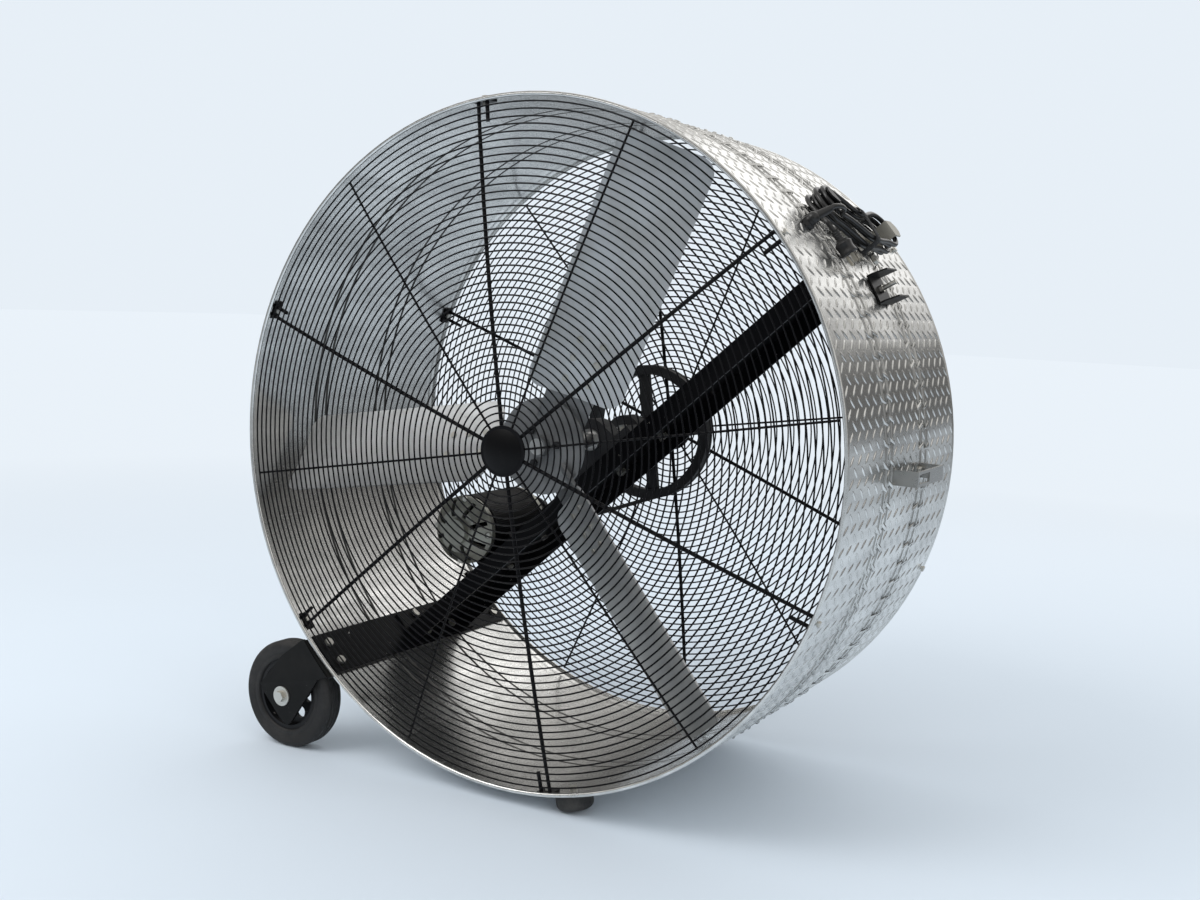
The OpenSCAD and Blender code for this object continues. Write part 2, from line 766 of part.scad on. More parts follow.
module wheel_hub() {
  at_axle() difference() {
    union() {
      difference() {
        axial(hub_out, rim_r, tyre_w - 2 * hub_out);
        axial(0, rim_r - web_t, tyre_w);
      }
      axial((tyre_w - web_t) / 2, rim_r - web_t / 2, web_t);
      axial(-hub_out, hub_boss_r, tyre_w + 2 * hub_out);
    }
    axial(-tyre_w, axle_d / 2 + run_fit, 3 * tyre_w);
    for (k = [0:5]) rotate([0, 60 * k, 0])
      translate([(rim_r + hub_boss_r) / 2 - web_t / 2, 0, 0]) axial(0, web_t * 3 / 2, tyre_w);
  }
}
module tyre_front() {
  color([0.13, 0.13, 0.13]) tyre();
}
module tyre_rear() {
  color([0.13, 0.13, 0.13]) mirrored_ends() tyre();
}
module wheel_hub_front() {
  color([0.2, 0.2, 0.2]) wheel_hub();
}
module wheel_hub_rear() {
  color([0.2, 0.2, 0.2]) mirrored_ends() wheel_hub();
}

// Rubber feet with a bolt up through the wall
foot_head_r = drum_r + 15;
module rubber_foot(p) {
  color([0.12, 0.12, 0.12]) radial(p[0], p[1]) difference() {
    rotate_extrude($fn = ROUND) {
      translate([0, on_wall]) square([foot_flat, foot_end_r - on_wall]);
      translate([0, on_wall]) square([foot_r, foot_edge_r - on_wall]);
      translate([foot_flat, foot_edge_r]) circle(foot_round, $fn = ROUND);
    }
    bolt_hole(M8, wall_r, foot_end_r);
    translate([0, 0, foot_head_r - seat]) cylinder(r = M8[1], h = foot_r, $fn = SMALL);
  }
}
module rubber_foot_front() {
  rubber_foot(feet_at[0]);
}
module rubber_foot_rear() {
  rubber_foot(feet_at[1]);
}
module foot_bolts() {
  color("silver") for (p = feet_at)
    radial(p[0], p[1]) bolt(M8, wall_r - seat, foot_head_r);
}

// Fan shaft, hub, spider and blades
module fan_shaft() {
  color("silver") spun(0) axial(hub_d, shaft_d / 2, shaft_end_d - hub_d);
}
module hub_bolt_places() {
  for (k = [0:2]) rotate([0, -120 * k - blade_a - 60, 0])
    translate([hub_bolt_r, 0, 0]) children();
}
module prop_hub() {
  color([0.1, 0.1, 0.1]) spun(0) difference() {
    union() {
      axial(hub_d, hub_r, disc_d + spider_t - hub_d + seat);
      axial(disc_d + spider_t + seat, hub_flange_r, hub_flange_t);
      axial(disc_d, hub_rear_r, hub_end_d - disc_d);
    }
    axial(disc_d - seat, hub_rear_r + seat, spider_t + 2 * seat, SMALL);
    axial(0, shaft_d / 2 + run_fit, drum_len);
    hub_bolt_places() axial(disc_d, M8[0] / 2 + bolt_fit, 2 * hub_flange_t + spider_t, SMALL);
  }
  color([0.1, 0.1, 0.1]) spun(0) difference() {
    axial(disc_d - 2 * seat, hub_r, spider_t + 4 * seat);
    axial(0, shaft_d / 2 + run_fit, drum_len);
  }
}
module chord_frame() {
  translate([0, chord_mid_d, chord_mid_off]) rotate([chord_a, 0, 0]) children();
}
// A band of the blade's curve: x0..x1 along the blade, from the curve's radius r0 to r1
module curved_band(x0, x1, r0, r1) {
  translate([x0, 0, camber - camber_r]) rotate([90, 0, 90]) linear_extrude(x1 - x0)
    intersection() {
      difference() {
        circle(r1, $fn = FINE);
        circle(r0, $fn = FINE);
      }
      translate([-chord, 0]) square([2 * chord, r1]);
    }
}
module outline(x0, x1, half, corner) {
  translate([0, 0, -chord]) linear_extrude(2 * chord) {
    translate([x0 + corner, -half]) square([x1 - x0 - 2 * corner, 2 * half]);
    translate([x0, corner - half]) square([x1 - x0, 2 * (half - corner)]);
    for (x = [x0 + corner, x1 - corner], s = [-1, 1])
      translate([x, s * (half - corner)]) circle(corner, $fn = ROUND);
  }
}
module rivet_places() {
  for (x = rivet_along, s = [-1, 1])
    translate([x, s * rivet_across, 0]) children();
}
module blade(k) {
  color("gainsboro") spun(blade_a + 120 * k) chord_frame() difference() {
    intersection() {
      curved_band(0, drum_r, camber_r, camber_r + blade_t);
      outline(root_r, tip_r, chord / 2, blade_corner_r);
    }
    rivet_places() cylinder(r = rivet_d / 2 + run_fit, h = 2 * camber, $fn = SMALL);
  }
}
module blade_1() {
  blade(0);
}
module blade_2() {
  blade(1);
}
module blade_3() {
  blade(2);
}
arm_root_r = 52;
module prop_spider() {
  color([0.25, 0.26, 0.28]) difference() {
    union() {
      spun(0) axial(disc_d, disc_r, spider_t);
      for (k = [0:2]) spun(blade_a + 120 * k) chord_frame() difference() {
        intersection() {
          curved_band(arm_root_r, drum_r, camber_r + blade_t + seat / 2,
            camber_r + blade_t + spider_t);
          outline(-arm_end_r, arm_end_r, arm_w / 2, blade_corner_r);
        }
        rivet_places() cylinder(r = rivet_d / 2 + run_fit, h = 3 * camber, $fn = SMALL);
      }
    }
    spun(0) axial(0, hub_r + seat, drum_len);
    spun(0) hub_bolt_places() axial(0, M8[0] / 2 + bolt_fit, drum_len, SMALL);
  }
}
module blade_rivets() {
  // A head on each face, clear of its curve
  edge = rivet_across + rivet_d * 3 / 4;
  under = camber - edge * edge / (2 * camber_r) - seat - rivet_head;
  over = camber + blade_t + spider_t + seat;
  color("silver") for (k = [0:2]) spun(blade_a + 120 * k) chord_frame() rivet_places() {
    translate([0, 0, under + rivet_head / 2]) cylinder(d = rivet_d, h = over - under, $fn = SMALL);
    for (z = [under, over])
      translate([0, 0, z]) cylinder(d = rivet_d * 3 / 2, h = rivet_head, $fn = SMALL);
  }
}
module hub_bolts() {
  color("silver") spun(0) hub_bolt_places()
    translate([0, disc_d - seat, 0]) rotate([90, 0, 0])
      bolt(M8, -spider_t - hub_flange_t - 3 * seat, 0);
}

// Pillow-block bearings on the crossbar's face
module bearing_housing(d) {
  foot_n = seat - bar_off;
  color([0.2, 0.2, 0.21]) spun(bar_a) difference() {
    union() {
      bar_box(-bearing_len / 2, bearing_len / 2, d - bearing_w / 2, d + bearing_w / 2,
        foot_n, foot_n + bearing_foot_h);
      axial(d - bearing_w / 2, bearing_r, bearing_w);
      plate_at(d - bearing_w / 2, bearing_w)
        polygon([[-bearing_r, 0], [bearing_r, 0], [bearing_r * 5 / 4, foot_n],
          [-bearing_r * 5 / 4, foot_n]]);
    }
    axial(0, inner_ring_r + seat, drum_len);
    for (s = [-bearing_bolt_s, bearing_bolt_s])
      translate([s, d, 0]) bolt_hole(M12, -bar_off - bar_h, 0);
  }
}
module bearing_ring(d) {
  color("silver") spun(0) difference() {
    axial(d - inner_ring_w / 2, inner_ring_r, inner_ring_w);
    axial(0, shaft_d / 2 + run_fit, drum_len);
  }
}
module bearing_housing_front() {
  bearing_housing(bearing_front_d);
}
module bearing_housing_rear() {
  bearing_housing(bearing_rear_d);
}
module bearing_ring_front() {
  bearing_ring(bearing_front_d);
}
module bearing_ring_rear() {
  bearing_ring(bearing_rear_d);
}
module bearing_bolts() {
  color("silver") spun(bar_a) face_bolts()
    bolt(M12, -bar_off - bar_t - seat, bearing_foot_h + 2 * seat - bar_off);
}

// Belt drive behind the crossbar
module groove_rim(r, r_in) {
  floor_r = r - belt_sink - belt_t - groove_gap;
  translate([0, belt_plane_d - sheave_w / 2, 0]) rotate([-90, 0, 0]) rotate_extrude($fn = FINE)
    difference() {
      translate([r_in, 0]) square([r - r_in, sheave_w]);
      translate([floor_r, (sheave_w - belt_w) / 2 - groove_gap])
        square([r, belt_w + 2 * groove_gap]);
    }
}
module large_sheave() {
  color([0.22, 0.23, 0.25]) spun(sheave_spoke_a) difference() {
    union() {
      groove_rim(sheave_r, sheave_r - rim_t);
      axial(belt_plane_d - sheave_w, sheave_hub_r, 2 * sheave_w - seat);
      for (k = [0:3]) rotate([0, 90 * k, 0])
        bar_box(shaft_d / 2, sheave_r - rim_t * 3 / 4, belt_plane_d - sheave_spoke_t / 2,
          belt_plane_d + sheave_spoke_t / 2, -sheave_spoke_w / 2, sheave_spoke_w / 2);
    }
    axial(0, shaft_d / 2 + run_fit, drum_len);
  }
}
// The belt's run round both wheels as a chain of points
belt_step = 3;
function belt_run(r0, r1) = concat(
  [for (a = [belt_lean:belt_step:360 - belt_lean]) r0 * [cos(a), sin(a)]],
  [r0 * [cos(belt_lean), -sin(belt_lean)]],
  [for (a = [-belt_lean:belt_step:belt_lean]) [belt_len, 0] + r1 * [cos(a), sin(a)]],
  [[belt_len, 0] + r1 * [cos(belt_lean), sin(belt_lean)]]
);
module drive_belt() {
  inner = belt_sink + belt_t;
  color([0.1, 0.1, 0.1]) spun(bar_a) rotate([0, -belt_a, 0])
    plate_at(belt_plane_d - belt_w / 2, belt_w) difference() {
      polygon(belt_run(sheave_r - belt_sink, pulley_r - belt_sink));
      polygon(belt_run(sheave_r - inner, pulley_r - inner));
    }
}
module motor_frame() {
  spun(bar_a) translate([-motor_s, 0, motor_n]) children();
}
module motor_body() {
  color([0.1, 0.1, 0.1]) motor_frame() difference() {
    axial(motor_d, motor_r, motor_len, FINE);
    axial(0, motor_shaft_d, drum_len);
  }
}
vent_w = 9;
module bell_profile(len) {
  // An end bell on its end: the open end at 0, the boss beyond len
  polygon([[0, len - bell_t], [boss_r, len - bell_t], [motor_r - 2 * bell_t, len / 3],
    [motor_r - bell_t, 0], [motor_r, 0], [motor_r, len / 3], [boss_r * 5 / 3, len],
    [boss_r, len], [boss_r, len + boss_len], [0, len + boss_len]]);
}
function bell_seat(len) = len / 3 + bell_t / 2;
module bell(len) {
  difference() {
    rotate_extrude($fn = FINE) bell_profile(len);
    for (k = [0:7]) rotate([0, 0, 45 * k + 22.5])
      translate([boss_r + bell_t, -vent_w / 2, 0])
        cube([motor_r - 4 * bell_t - boss_r + vent_w, vent_w, 2 * len]);
    // Spot faces under the heads of the through bolts
    for (k = [0:3]) rotate([0, 0, 90 * k + 45]) translate([motor_r - bell_t, 0, bell_seat(len)])
      cylinder(r = M6[1] * 2 / 3, h = len, $fn = SMALL);
  }
}
module motor_bell_front() {
  color([0.55, 0.55, 0.5]) motor_frame() difference() {
    translate([0, motor_d - seat, 0]) rotate([90, 0, 0]) bell(bell_front_len);
    axial(motor_d - bell_front_len - boss_len / 2, motor_shaft_d / 2 + run_fit, drum_len);
  }
}
module motor_bell_rear() {
  color([0.55, 0.55, 0.5]) motor_frame() difference() {
    translate([0, motor_d + motor_len + seat, 0]) rotate([-90, 0, 0]) bell(bell_rear_len);
    axial(motor_d, motor_shaft_d / 2 + run_fit, drum_len);
  }
}
shaft_front_d = motor_d - bell_front_len - boss_len / 4;
shaft_rear_d = belt_plane_d + sheave_w / 2;
module motor_shaft() {
  color("silver") motor_frame()
    axial(shaft_front_d, motor_shaft_d / 2, shaft_rear_d - shaft_front_d);
}
module motor_pulley() {
  color([0.25, 0.25, 0.26]) motor_frame() difference() {
    groove_rim(pulley_r, motor_shaft_d / 3);
    axial(0, motor_shaft_d / 2 + run_fit, drum_len);
  }
}
saddle_w = 52;
saddle_d = [22, 92];
module motor_base() {
  base_n = seat - bar_off - motor_n;
  color([0.1, 0.1, 0.1]) motor_frame() difference() {
    union() {
      bar_box(-base_w / 2, base_w / 2, base_d, base_d + base_depth, base_n, base_n + base_t);
      for (d = saddle_d)
        bar_box(-saddle_w, saddle_w, base_d + d, base_d + d + saddle_d[0],
          base_n, base_n + saddle_w / 2);
    }
    axial(0, motor_r + seat, drum_len, FINE);
    translate([motor_s, 0, -motor_n]) base_bolts() bolt_hole(M8, -bar_off - bar_h, 0);
  }
}
module motor_bolts() {
  color("silver") {
    spun(bar_a) base_bolts() bolt(M8, -bar_off - bar_t - seat, base_t + 2 * seat - bar_off);
    motor_frame() for (k = [0:3]) rotate([0, 90 * k + 45, 0])
      translate([motor_r - bell_t, motor_d - bell_seat(bell_front_len) - 2 * seat, 0])
        rotate([90, 0, 0]) hex(M6[1], M6[2]);
  }
}

// Pull handle: a bent strap with a slot, standing off the wall
module pull_handle() {
  top = on_wall + handle_h;
  color("gainsboro") radial(handle_a, handle_d) difference() {
    union() {
      for (y = [0, handle_len - handle_foot])
        translate([-handle_w / 2, y, on_wall]) cube([handle_w, handle_foot, handle_t]);
      for (y = [0, handle_len - handle_t])
        translate([-handle_w / 2, y, on_wall]) cube([handle_w, handle_t, handle_h]);
      translate([-handle_w / 2, 0, top - handle_t]) cube([handle_w, handle_len, handle_t]);
    }
    translate([-slot_w / 2, 2 * handle_t, top - 2 * handle_t])
      cube([slot_w, slot_len, 3 * handle_t]);
    for (y = [horn_bolt_y, handle_len - horn_bolt_y])
      translate([0, y, 0]) bolt_hole(M8, wall_r, on_wall + 2 * handle_t);
  }
}

// Cord wraps: a free channel with a standing bolt, and two lipped brackets at the hank
module cord_wrap_lower() {
  ear_x = wrap_w / 2 - wrap_t;
  color([0.45, 0.45, 0.45]) radial(wrap_low_a, wrap_low_d) difference() {
    union() {
      translate([-wrap_w / 2, 0, on_wall]) cube([wrap_w, wrap_len, wrap_t]);
      for (x = [-wrap_w / 2, ear_x])
        translate([x, 0, on_wall]) rotate([90, 0, 90]) linear_extrude(wrap_t)
          polygon([[0, 0], [wrap_len, 0], [wrap_len * 6 / 5, wrap_h], [wrap_len / 3, wrap_h],
            [0, wrap_h / 3]]);
    }
    translate([0, wrap_len / 2, 0]) bolt_hole(M8, wall_r, on_wall + 2 * wrap_t);
  }
}
module hank_bracket(lip) {
  // Foot under the hank, leg inside its fold and lip over the fold, along +Y
  corner = horn_w / 3;
  difference() {
    union() {
      translate([-horn_w / 2, wrap_t - horn_foot, on_wall]) cube([horn_w, horn_foot, wrap_t]);
      translate([-horn_w / 2, 0, on_wall]) cube([horn_w, wrap_t, horn_h]);
      translate([0, 0, on_wall + horn_h - wrap_t]) linear_extrude(wrap_t)
        polygon([[-horn_w / 2, 0], [horn_w / 2, 0], [horn_w / 2, lip - corner],
          [horn_w / 2 - corner, lip], [corner - horn_w / 2, lip], [-horn_w / 2, lip - corner]]);
    }
    for (s = [-1, 1]) translate([s * horn_bolt_x, -horn_bolt_y, 0])
      bolt_hole(M8, wall_r, on_wall + 2 * wrap_t);
  }
}
module hank_bracket_front() {
  color([0.3, 0.3, 0.3]) radial(horn_front_a, horn_front_d) mirror([0, 1, 0])
    hank_bracket(lip_front);
}
module hank_bracket_rear() {
  color([0.5, 0.5, 0.48]) radial(horn_rear_a, horn_rear_d) hank_bracket(lip_rear);
}
wrap_bolt_len = 34;
module outer_bolts() {
  color("silver") {
    for (p = handle_bolts_at)
      radial(p[0], p[1]) bolt(M8, wall_r - seat, on_wall + handle_t + seat);
    for (p = horn_front_bolts_at)
      radial(p[0], p[1]) bolt(M8, wall_r - seat, on_wall + wrap_t + 3 * seat);
    // The rear bracket's bolts go through the crossbar's upper foot as well
    for (p = horn_rear_bolts_at)
      radial(p[0], p[1]) bolt(M8, up_foot_r - seat, on_wall + wrap_t + 3 * seat);
    radial(wrap_bolt_at[0], wrap_bolt_at[1]) {
      bolt(M8, wall_r - seat, on_wall + wrap_t + seat);
      translate([0, 0, on_wall]) cylinder(d = M8[0], h = wrap_bolt_len, $fn = SMALL);
    }
  }
}

// Cord: gland, lead, hank, tie and plug. The hank's frame has X down the wall,
// Y along the drum and Z outward. Its folds lie round the legs of its two brackets.
cord_r = cord_d / 2;
gland_lean = 45;
gland_tail = 26;
gland_h = 14;
gland_ball_r = 11;
gland_side = 12;
hank_step = cord_d + 1.6;
hank_pitch = cord_d + 0.7;
fold_r = 28;
layer_turns = 1;
waist = 6;
hank_z = drum_r + 9;
climb = 0.25;
rings_a_loop = 24;
first_turn = 0.145;
hank_tuck = 11;
last_turn = 4;

// The two folds' middles, and the hank's length and lean between them
horn_x = turn_back(hank_a - horn_front_a);
horn_y = (horn_rear_d - horn_front_d) / 2;
hank_run = 2 * (norm([horn_x, horn_y]) - hank_tuck);
hank_lean = atan2(-horn_x, horn_y);
function turn_back(a) = a * PI / 180 * drum_r;

function smooth(t) = t <= 0 ? 0 : t >= 1 ? 1 : t * t * (3 - 2 * t);
// Fold radius of the hank after t turns: it spirals in and out again
function fold_at(t) = fold_r + hank_step * abs((t + 2 * layer_turns) % (2 * layer_turns)
  - layer_turns);
function layer_at(t) = hank_z + hank_pitch * (
  smooth((t - layer_turns + climb) / (2 * climb))
  + smooth((t - 2 * layer_turns + climb) / (2 * climb))
  + smooth((t - 3 * layer_turns + climb) / (2 * climb)));
// One loop as [along, down]: front fold upwards, run to the rear, rear fold, run back
fold_share = 0.29;
run_share = 0.21;
function drawn_in(along) = pow(cos(180 * along / hank_run), 2);
function loop_at(u, r) =
  u < fold_share ? let (a = 180 * u / fold_share)
    [-hank_run / 2 - r * sin(a), r * cos(a)] :
  u < 0.5 ? let (x = hank_run * ((u - fold_share) / run_share - 0.5))
    [x, (waist + hank_sag) * drawn_in(x) - r] :
  u < 0.5 + fold_share ? let (a = 180 * (u - 0.5) / fold_share)
    [hank_run / 2 + r * sin(a), -r * cos(a)] :
  let (x = hank_run * (0.5 - (u - 0.5 - fold_share) / run_share))
    [x, r + (hank_sag - waist) * drawn_in(x)];
function on_hank(p, z) = let (
    y = p[0] * cos(hank_lean) - p[1] * sin(hank_lean),
    x = p[0] * sin(hank_lean) + p[1] * cos(hank_lean)
  ) [x, y, z - x * x / (2 * drum_r)];
function hank_at(t) = on_hank(loop_at(t - floor(t), fold_at(t)), layer_at(t));
hank_rings = floor((last_turn - first_turn) * rings_a_loop);
hank_body = [for (k = [0:hank_rings])
  hank_at(last_turn - k * (last_turn - first_turn) / hank_rings)];
hank_in = [sin(hank_lean), cos(hank_lean), 0];
hank_start = hank_body[0] - cord_d * hank_in;
// Tail: from the last fold down the wall to the plug, points chosen by hand
tail_stops = [[-10, -132, 628], [11, -148, 634], [34, -147, 634]];
hank_stop = tail_stops[2];
plug_way = [38, 4, -3];
hank_path = concat([hank_start], hank_body,
  spline(concat([hank_body[hank_rings]], tail_stops), 3, 1));

// Lead: from the gland's tail to the hank, points chosen by hand in the hank's frame
lead_x = turn_back(hank_a - gland_a);
lead_dir = [0, sin(gland_lean), cos(gland_lean)];
lead_exit = [lead_x, gland_d - hank_d, on_wall + gland_h]
  + (gland_ball_r + gland_tail + 2 * seat) * lead_dir;
lead_curve = spline([lead_exit, lead_exit + cord_d * lead_dir, [9, -142, 668], [11, -126, 664],
  hank_start - cord_d * 2 / 3 * hank_in, hank_start - 3 * seat * hank_in], 5, 0);

function unit(v) = v / norm(v);
function bend(p, q, r, s, t) = 0.5 * (2 * q + (r - p) * t
  + (2 * p - 5 * q + 4 * r - s) * t * t + (3 * q - p - 3 * r + s) * t * t * t);
function spline(pts, n, first) = let (
    last = len(pts) - 1,
    at = concat([2 * pts[0] - pts[1]], pts, [2 * pts[last] - pts[last - 1]])
  ) concat([for (k = [0:last - 1], j = [k == 0 ? first : 0:n - 1])
    bend(at[k], at[k + 1], at[k + 2], at[k + 3], j / n)], [pts[last]]);
function way(path, k) = let (last = len(path) - 1)
  unit(path[min(k + 1, last)] - path[max(k - 1, 0)]);
function across(path, k, side) = let (w = way(path, k)) unit(side - (side * w) * w);
function carried(path, k = 0, side = [0, 0, 1]) = k == len(path) ? [] :
  let (s = across(path, k, side)) concat([s], carried(path, k + 1, s));
module tube(path, r, sides) {
  n = len(path);
  ways = carried(path);
  pts = [for (k = [0:n - 1], j = [0:sides - 1]) let (
      s = ways[k], b = cross(way(path, k), s), a = 360 * j / sides
    ) path[k] + r * (s * cos(a) + b * sin(a))];
  faces = concat(
    [[for (j = [0:sides - 1]) j]],
    [for (k = [0:n - 2], j = [0:sides - 1]) let (i = (j + 1) % sides)
      [k * sides + j, (k + 1) * sides + j, (k + 1) * sides + i, k * sides + i]],
    [[for (j = [0:sides - 1]) n * sides - 1 - j]]
  );
  polyhedron(pts, faces, convexity = 10);
}
// Least gap between strands of the hank that are more than a fold apart
gap_skip = 9;
hank_gap = min([for (i = [0:hank_rings - gap_skip], j = [i + gap_skip:hank_rings])
  norm(hank_body[i] - hank_body[j])]) - cord_d;
echo(hank_gap = hank_gap);

module hank_frame() {
  radial(hank_a, hank_d) children();
}
module cord_gland() {
  color([0.1, 0.1, 0.1]) radial(gland_a, gland_d) {
    translate([0, 0, wall_r - gland_h]) cylinder(r = gland_r, h = on_wall - wall_r + gland_h, $fn = ROUND);
    translate([0, 0, wall_r - gland_h / 2]) hex(2 * gland_side, gland_h / 2 - seat);
    translate([0, 0, on_wall]) hex(2 * gland_side, gland_h / 2);
    translate([0, 0, on_wall]) cylinder(r = gland_ball_r - seat, h = gland_h, $fn = ROUND);
    translate([0, 0, on_wall + gland_h]) {
      sphere(gland_ball_r, $fn = ROUND);
      rotate([-gland_lean, 0, 0]) cylinder(r1 = gland_ball_r * 4 / 5, r2 = cord_r * 4 / 3,
        h = gland_ball_r + gland_tail, $fn = ROUND);
    }
  }
}
module cord_lead() {
  color([0.08, 0.08, 0.08]) hank_frame() tube(lead_curve, cord_r, 8);
}
module cord_hank() {
  color([0.08, 0.08, 0.08]) hank_frame() tube(hank_path, cord_r, 6);
}
tie_w = 14;
tie_t = 2;
module cord_tie() {
  // A loop round the hank's waist, square to the wall under its middle
  half = fold_r + layer_turns * hank_step - waist + cord_r + seat;
  low = hank_z - cord_r - seat - half * half / (2 * drum_r);
  high = hank_z + 3 * hank_pitch + cord_r + seat;
  color([0.15, 0.15, 0.15])
    radial(hank_a - turn_of(hank_sag * cos(hank_lean), drum_r), hank_d - hank_sag * sin(hank_lean))
      rotate([0, 0, -hank_lean]) difference() {
        translate([-half - tie_t, -tie_w / 2, low - tie_t])
          cube([2 * (half + tie_t), tie_w, high - low + 2 * tie_t]);
        translate([-half, -tie_w, low]) cube([2 * half, 2 * tie_w, high - low]);
      }
}
plug_len = 44;
plug_r = 15;
neck_len = 24;
blade_gap = 12.7;
module plug_frame() {
  hank_frame() translate(hank_stop + 2 * seat * unit(plug_way))
    rotate([0, acos(unit(plug_way)[2]), atan2(plug_way[1], plug_way[0])]) children();
}
module plug_body() {
  color([0.08, 0.08, 0.08]) plug_frame() {
    cylinder(r1 = cord_r * 4 / 3, r2 = cord_r * 5 / 3, h = neck_len, $fn = ROUND);
    translate([0, 0, neck_len]) cylinder(r = plug_r, h = plug_len / 2, $fn = ROUND);
    translate([0, 0, neck_len - plug_r / 2])
      cylinder(r1 = cord_r * 5 / 3, r2 = plug_r, h = plug_r / 2, $fn = ROUND);
  }
}
blade_size = [1.5, 6.3, 16];
pin_r = 2.4;
module plug_blades() {
  front = neck_len + plug_len / 2;
  color("silver") plug_frame() translate([0, 0, front + seat / 3]) {
    for (s = [-1, 1]) translate([-blade_size[1] / 2 - plug_r / 4, s * blade_gap / 2 - blade_size[0] / 2, 0])
      cube([blade_size[1], blade_size[0], blade_size[2]]);
    translate([plug_r / 2, 0, 0]) cylinder(r = pin_r, h = blade_size[2] + pin_r, $fn = SMALL);
  }
}

drum_shell();
front_guard_frame();
front_guard_rings();
rear_guard_frame();
rear_guard_rings();
guard_badge();
guard_bolts();
crossbar();
crossbar_foot_upper();
crossbar_foot_lower();
crossbar_bolts();
wheel_strap();
strap_bolts();
wheel_bracket_front();
wheel_bracket_rear();
axle_bolt_front();
axle_bolt_rear();
axle_nuts();
tyre_front();
tyre_rear();
wheel_hub_front();
wheel_hub_rear();
rubber_foot_front();
rubber_foot_rear();
foot_bolts();
fan_shaft();
prop_spider();
prop_hub();
blade_1();
blade_2();
blade_3();
blade_rivets();
hub_bolts();
bearing_housing_front();
bearing_housing_rear();
bearing_ring_front();
bearing_ring_rear();
bearing_bolts();
large_sheave();
drive_belt();
motor_body();
motor_bell_front();
motor_bell_rear();
motor_shaft();
motor_pulley();
motor_base();
motor_bolts();
pull_handle();
cord_wrap_lower();
hank_bracket_front();
hank_bracket_rear();
outer_bolts();
cord_gland();
cord_lead();
cord_hank();
cord_tie();
plug_body();
plug_blades();
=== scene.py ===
"""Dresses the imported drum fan: tread plate, cord, wheels, motor and finishes."""

import enum
import logging
import math
from dataclasses import dataclass

import bmesh
import bpy
import numpy as np
from mathutils import Matrix, Vector


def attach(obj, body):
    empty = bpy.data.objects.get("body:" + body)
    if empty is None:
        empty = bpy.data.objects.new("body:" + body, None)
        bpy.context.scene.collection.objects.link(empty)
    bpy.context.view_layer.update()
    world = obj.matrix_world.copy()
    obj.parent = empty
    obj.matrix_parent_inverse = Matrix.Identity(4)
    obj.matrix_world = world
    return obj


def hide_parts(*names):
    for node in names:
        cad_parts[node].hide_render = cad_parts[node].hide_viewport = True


log = logging.getLogger("drum_fan")
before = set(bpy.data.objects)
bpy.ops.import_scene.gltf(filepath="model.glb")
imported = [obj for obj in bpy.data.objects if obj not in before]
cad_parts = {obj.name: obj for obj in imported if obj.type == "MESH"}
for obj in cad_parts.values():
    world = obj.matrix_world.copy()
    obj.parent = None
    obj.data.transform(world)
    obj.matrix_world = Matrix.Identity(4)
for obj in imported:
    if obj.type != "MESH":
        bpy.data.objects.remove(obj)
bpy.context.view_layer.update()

MM = 0.001


class Body(enum.Enum):
    """The bodies that the pieces made here ride on."""

    DRUM = "drum"
    FRONT_WHEEL = "front_wheel"
    REAR_WHEEL = "rear_wheel"


class End(enum.Enum):
    """The two ends of the drum."""

    FRONT = "front"
    REAR = "rear"


@dataclass(frozen=True)
class Layout:
    """Main sizes of the fan in millimetres, as in the part's source.

    Attributes:
        axis_x, axis_z: place of the fan's axis, right and up.
        front_y: place of the drum's front rim.
        length: length of the drum.
        lug_r: radius over the tread lugs.
        sheet_r: radius of the sheet's outer face.
        wheel_r, tyre_w: radius and width of a tyre.
        wheel_reach: way from the fan's axis to the wheels'.
        motor_s, motor_n: place of the motor's axis along the crossbar and above it.
        bar_angle: turn of the crossbar, in degrees.
        bead_depths: depths of the middles of the two pairs of rolled ridges.
        ridge_gap: way between the two ridges of a pair.
    """

    axis_x: float = -21.15
    front_y: float = -298.5
    axis_z: float = 639.0
    length: float = 604.0
    lug_r: float = 616.0
    sheet_r: float = 614.5
    wheel_r: float = 106.0
    wheel_reach: float = 736.0
    tyre_w: float = 48.0
    motor_s: float = -350.0
    motor_n: float = 33.0
    bar_angle: float = 42.0
    bead_depths: tuple = (206.0, 403.0)
    ridge_gap: float = 32.0

    @property
    def wheel_angle(self) -> float:
        """Angle of the axles seen from the fan's axis, in degrees."""
        return 180 + math.degrees(math.asin((self.axis_z - self.wheel_r) / self.wheel_reach))

    def radial(self, angle: float, depth: float, points: np.ndarray) -> np.ndarray:
        """Places points of a wall frame in the row frame.

        Args:
            angle: angle of the frame round the fan's axis, in degrees.
            depth: depth of the frame behind the front rim.
            points: rows of clockwise, rearward and outward millimetres.

        Returns:
            The points in millimetres of the row frame.
        """
        a = math.radians(angle)
        x, y, z = points[..., 0], points[..., 1], points[..., 2]
        return np.stack([
            self.axis_x + z * math.cos(a) + x * math.sin(a),
            self.front_y + depth + y,
            self.axis_z + z * math.sin(a) - x * math.cos(a),
        ], axis=-1)

    def around(
        self, r: np.ndarray | float, turn: np.ndarray | float, depth: np.ndarray | float
    ) -> np.ndarray:
        """Places points round the fan's axis in the row frame.

        A point lies right and up of the axis by its radius times cosine and sine of its turn.

        Args:
            r: radius of each point.
            turn: its turn from the right upwards, in radians.
            depth: its depth behind the front rim.

        Returns:
            The points in millimetres of the row frame.
        """
        x, z = self.axis_x + r * np.cos(turn), self.axis_z + r * np.sin(turn)
        return np.stack([x, self.front_y + depth, z], axis=-1)


LAYOUT = Layout()


# Meshes


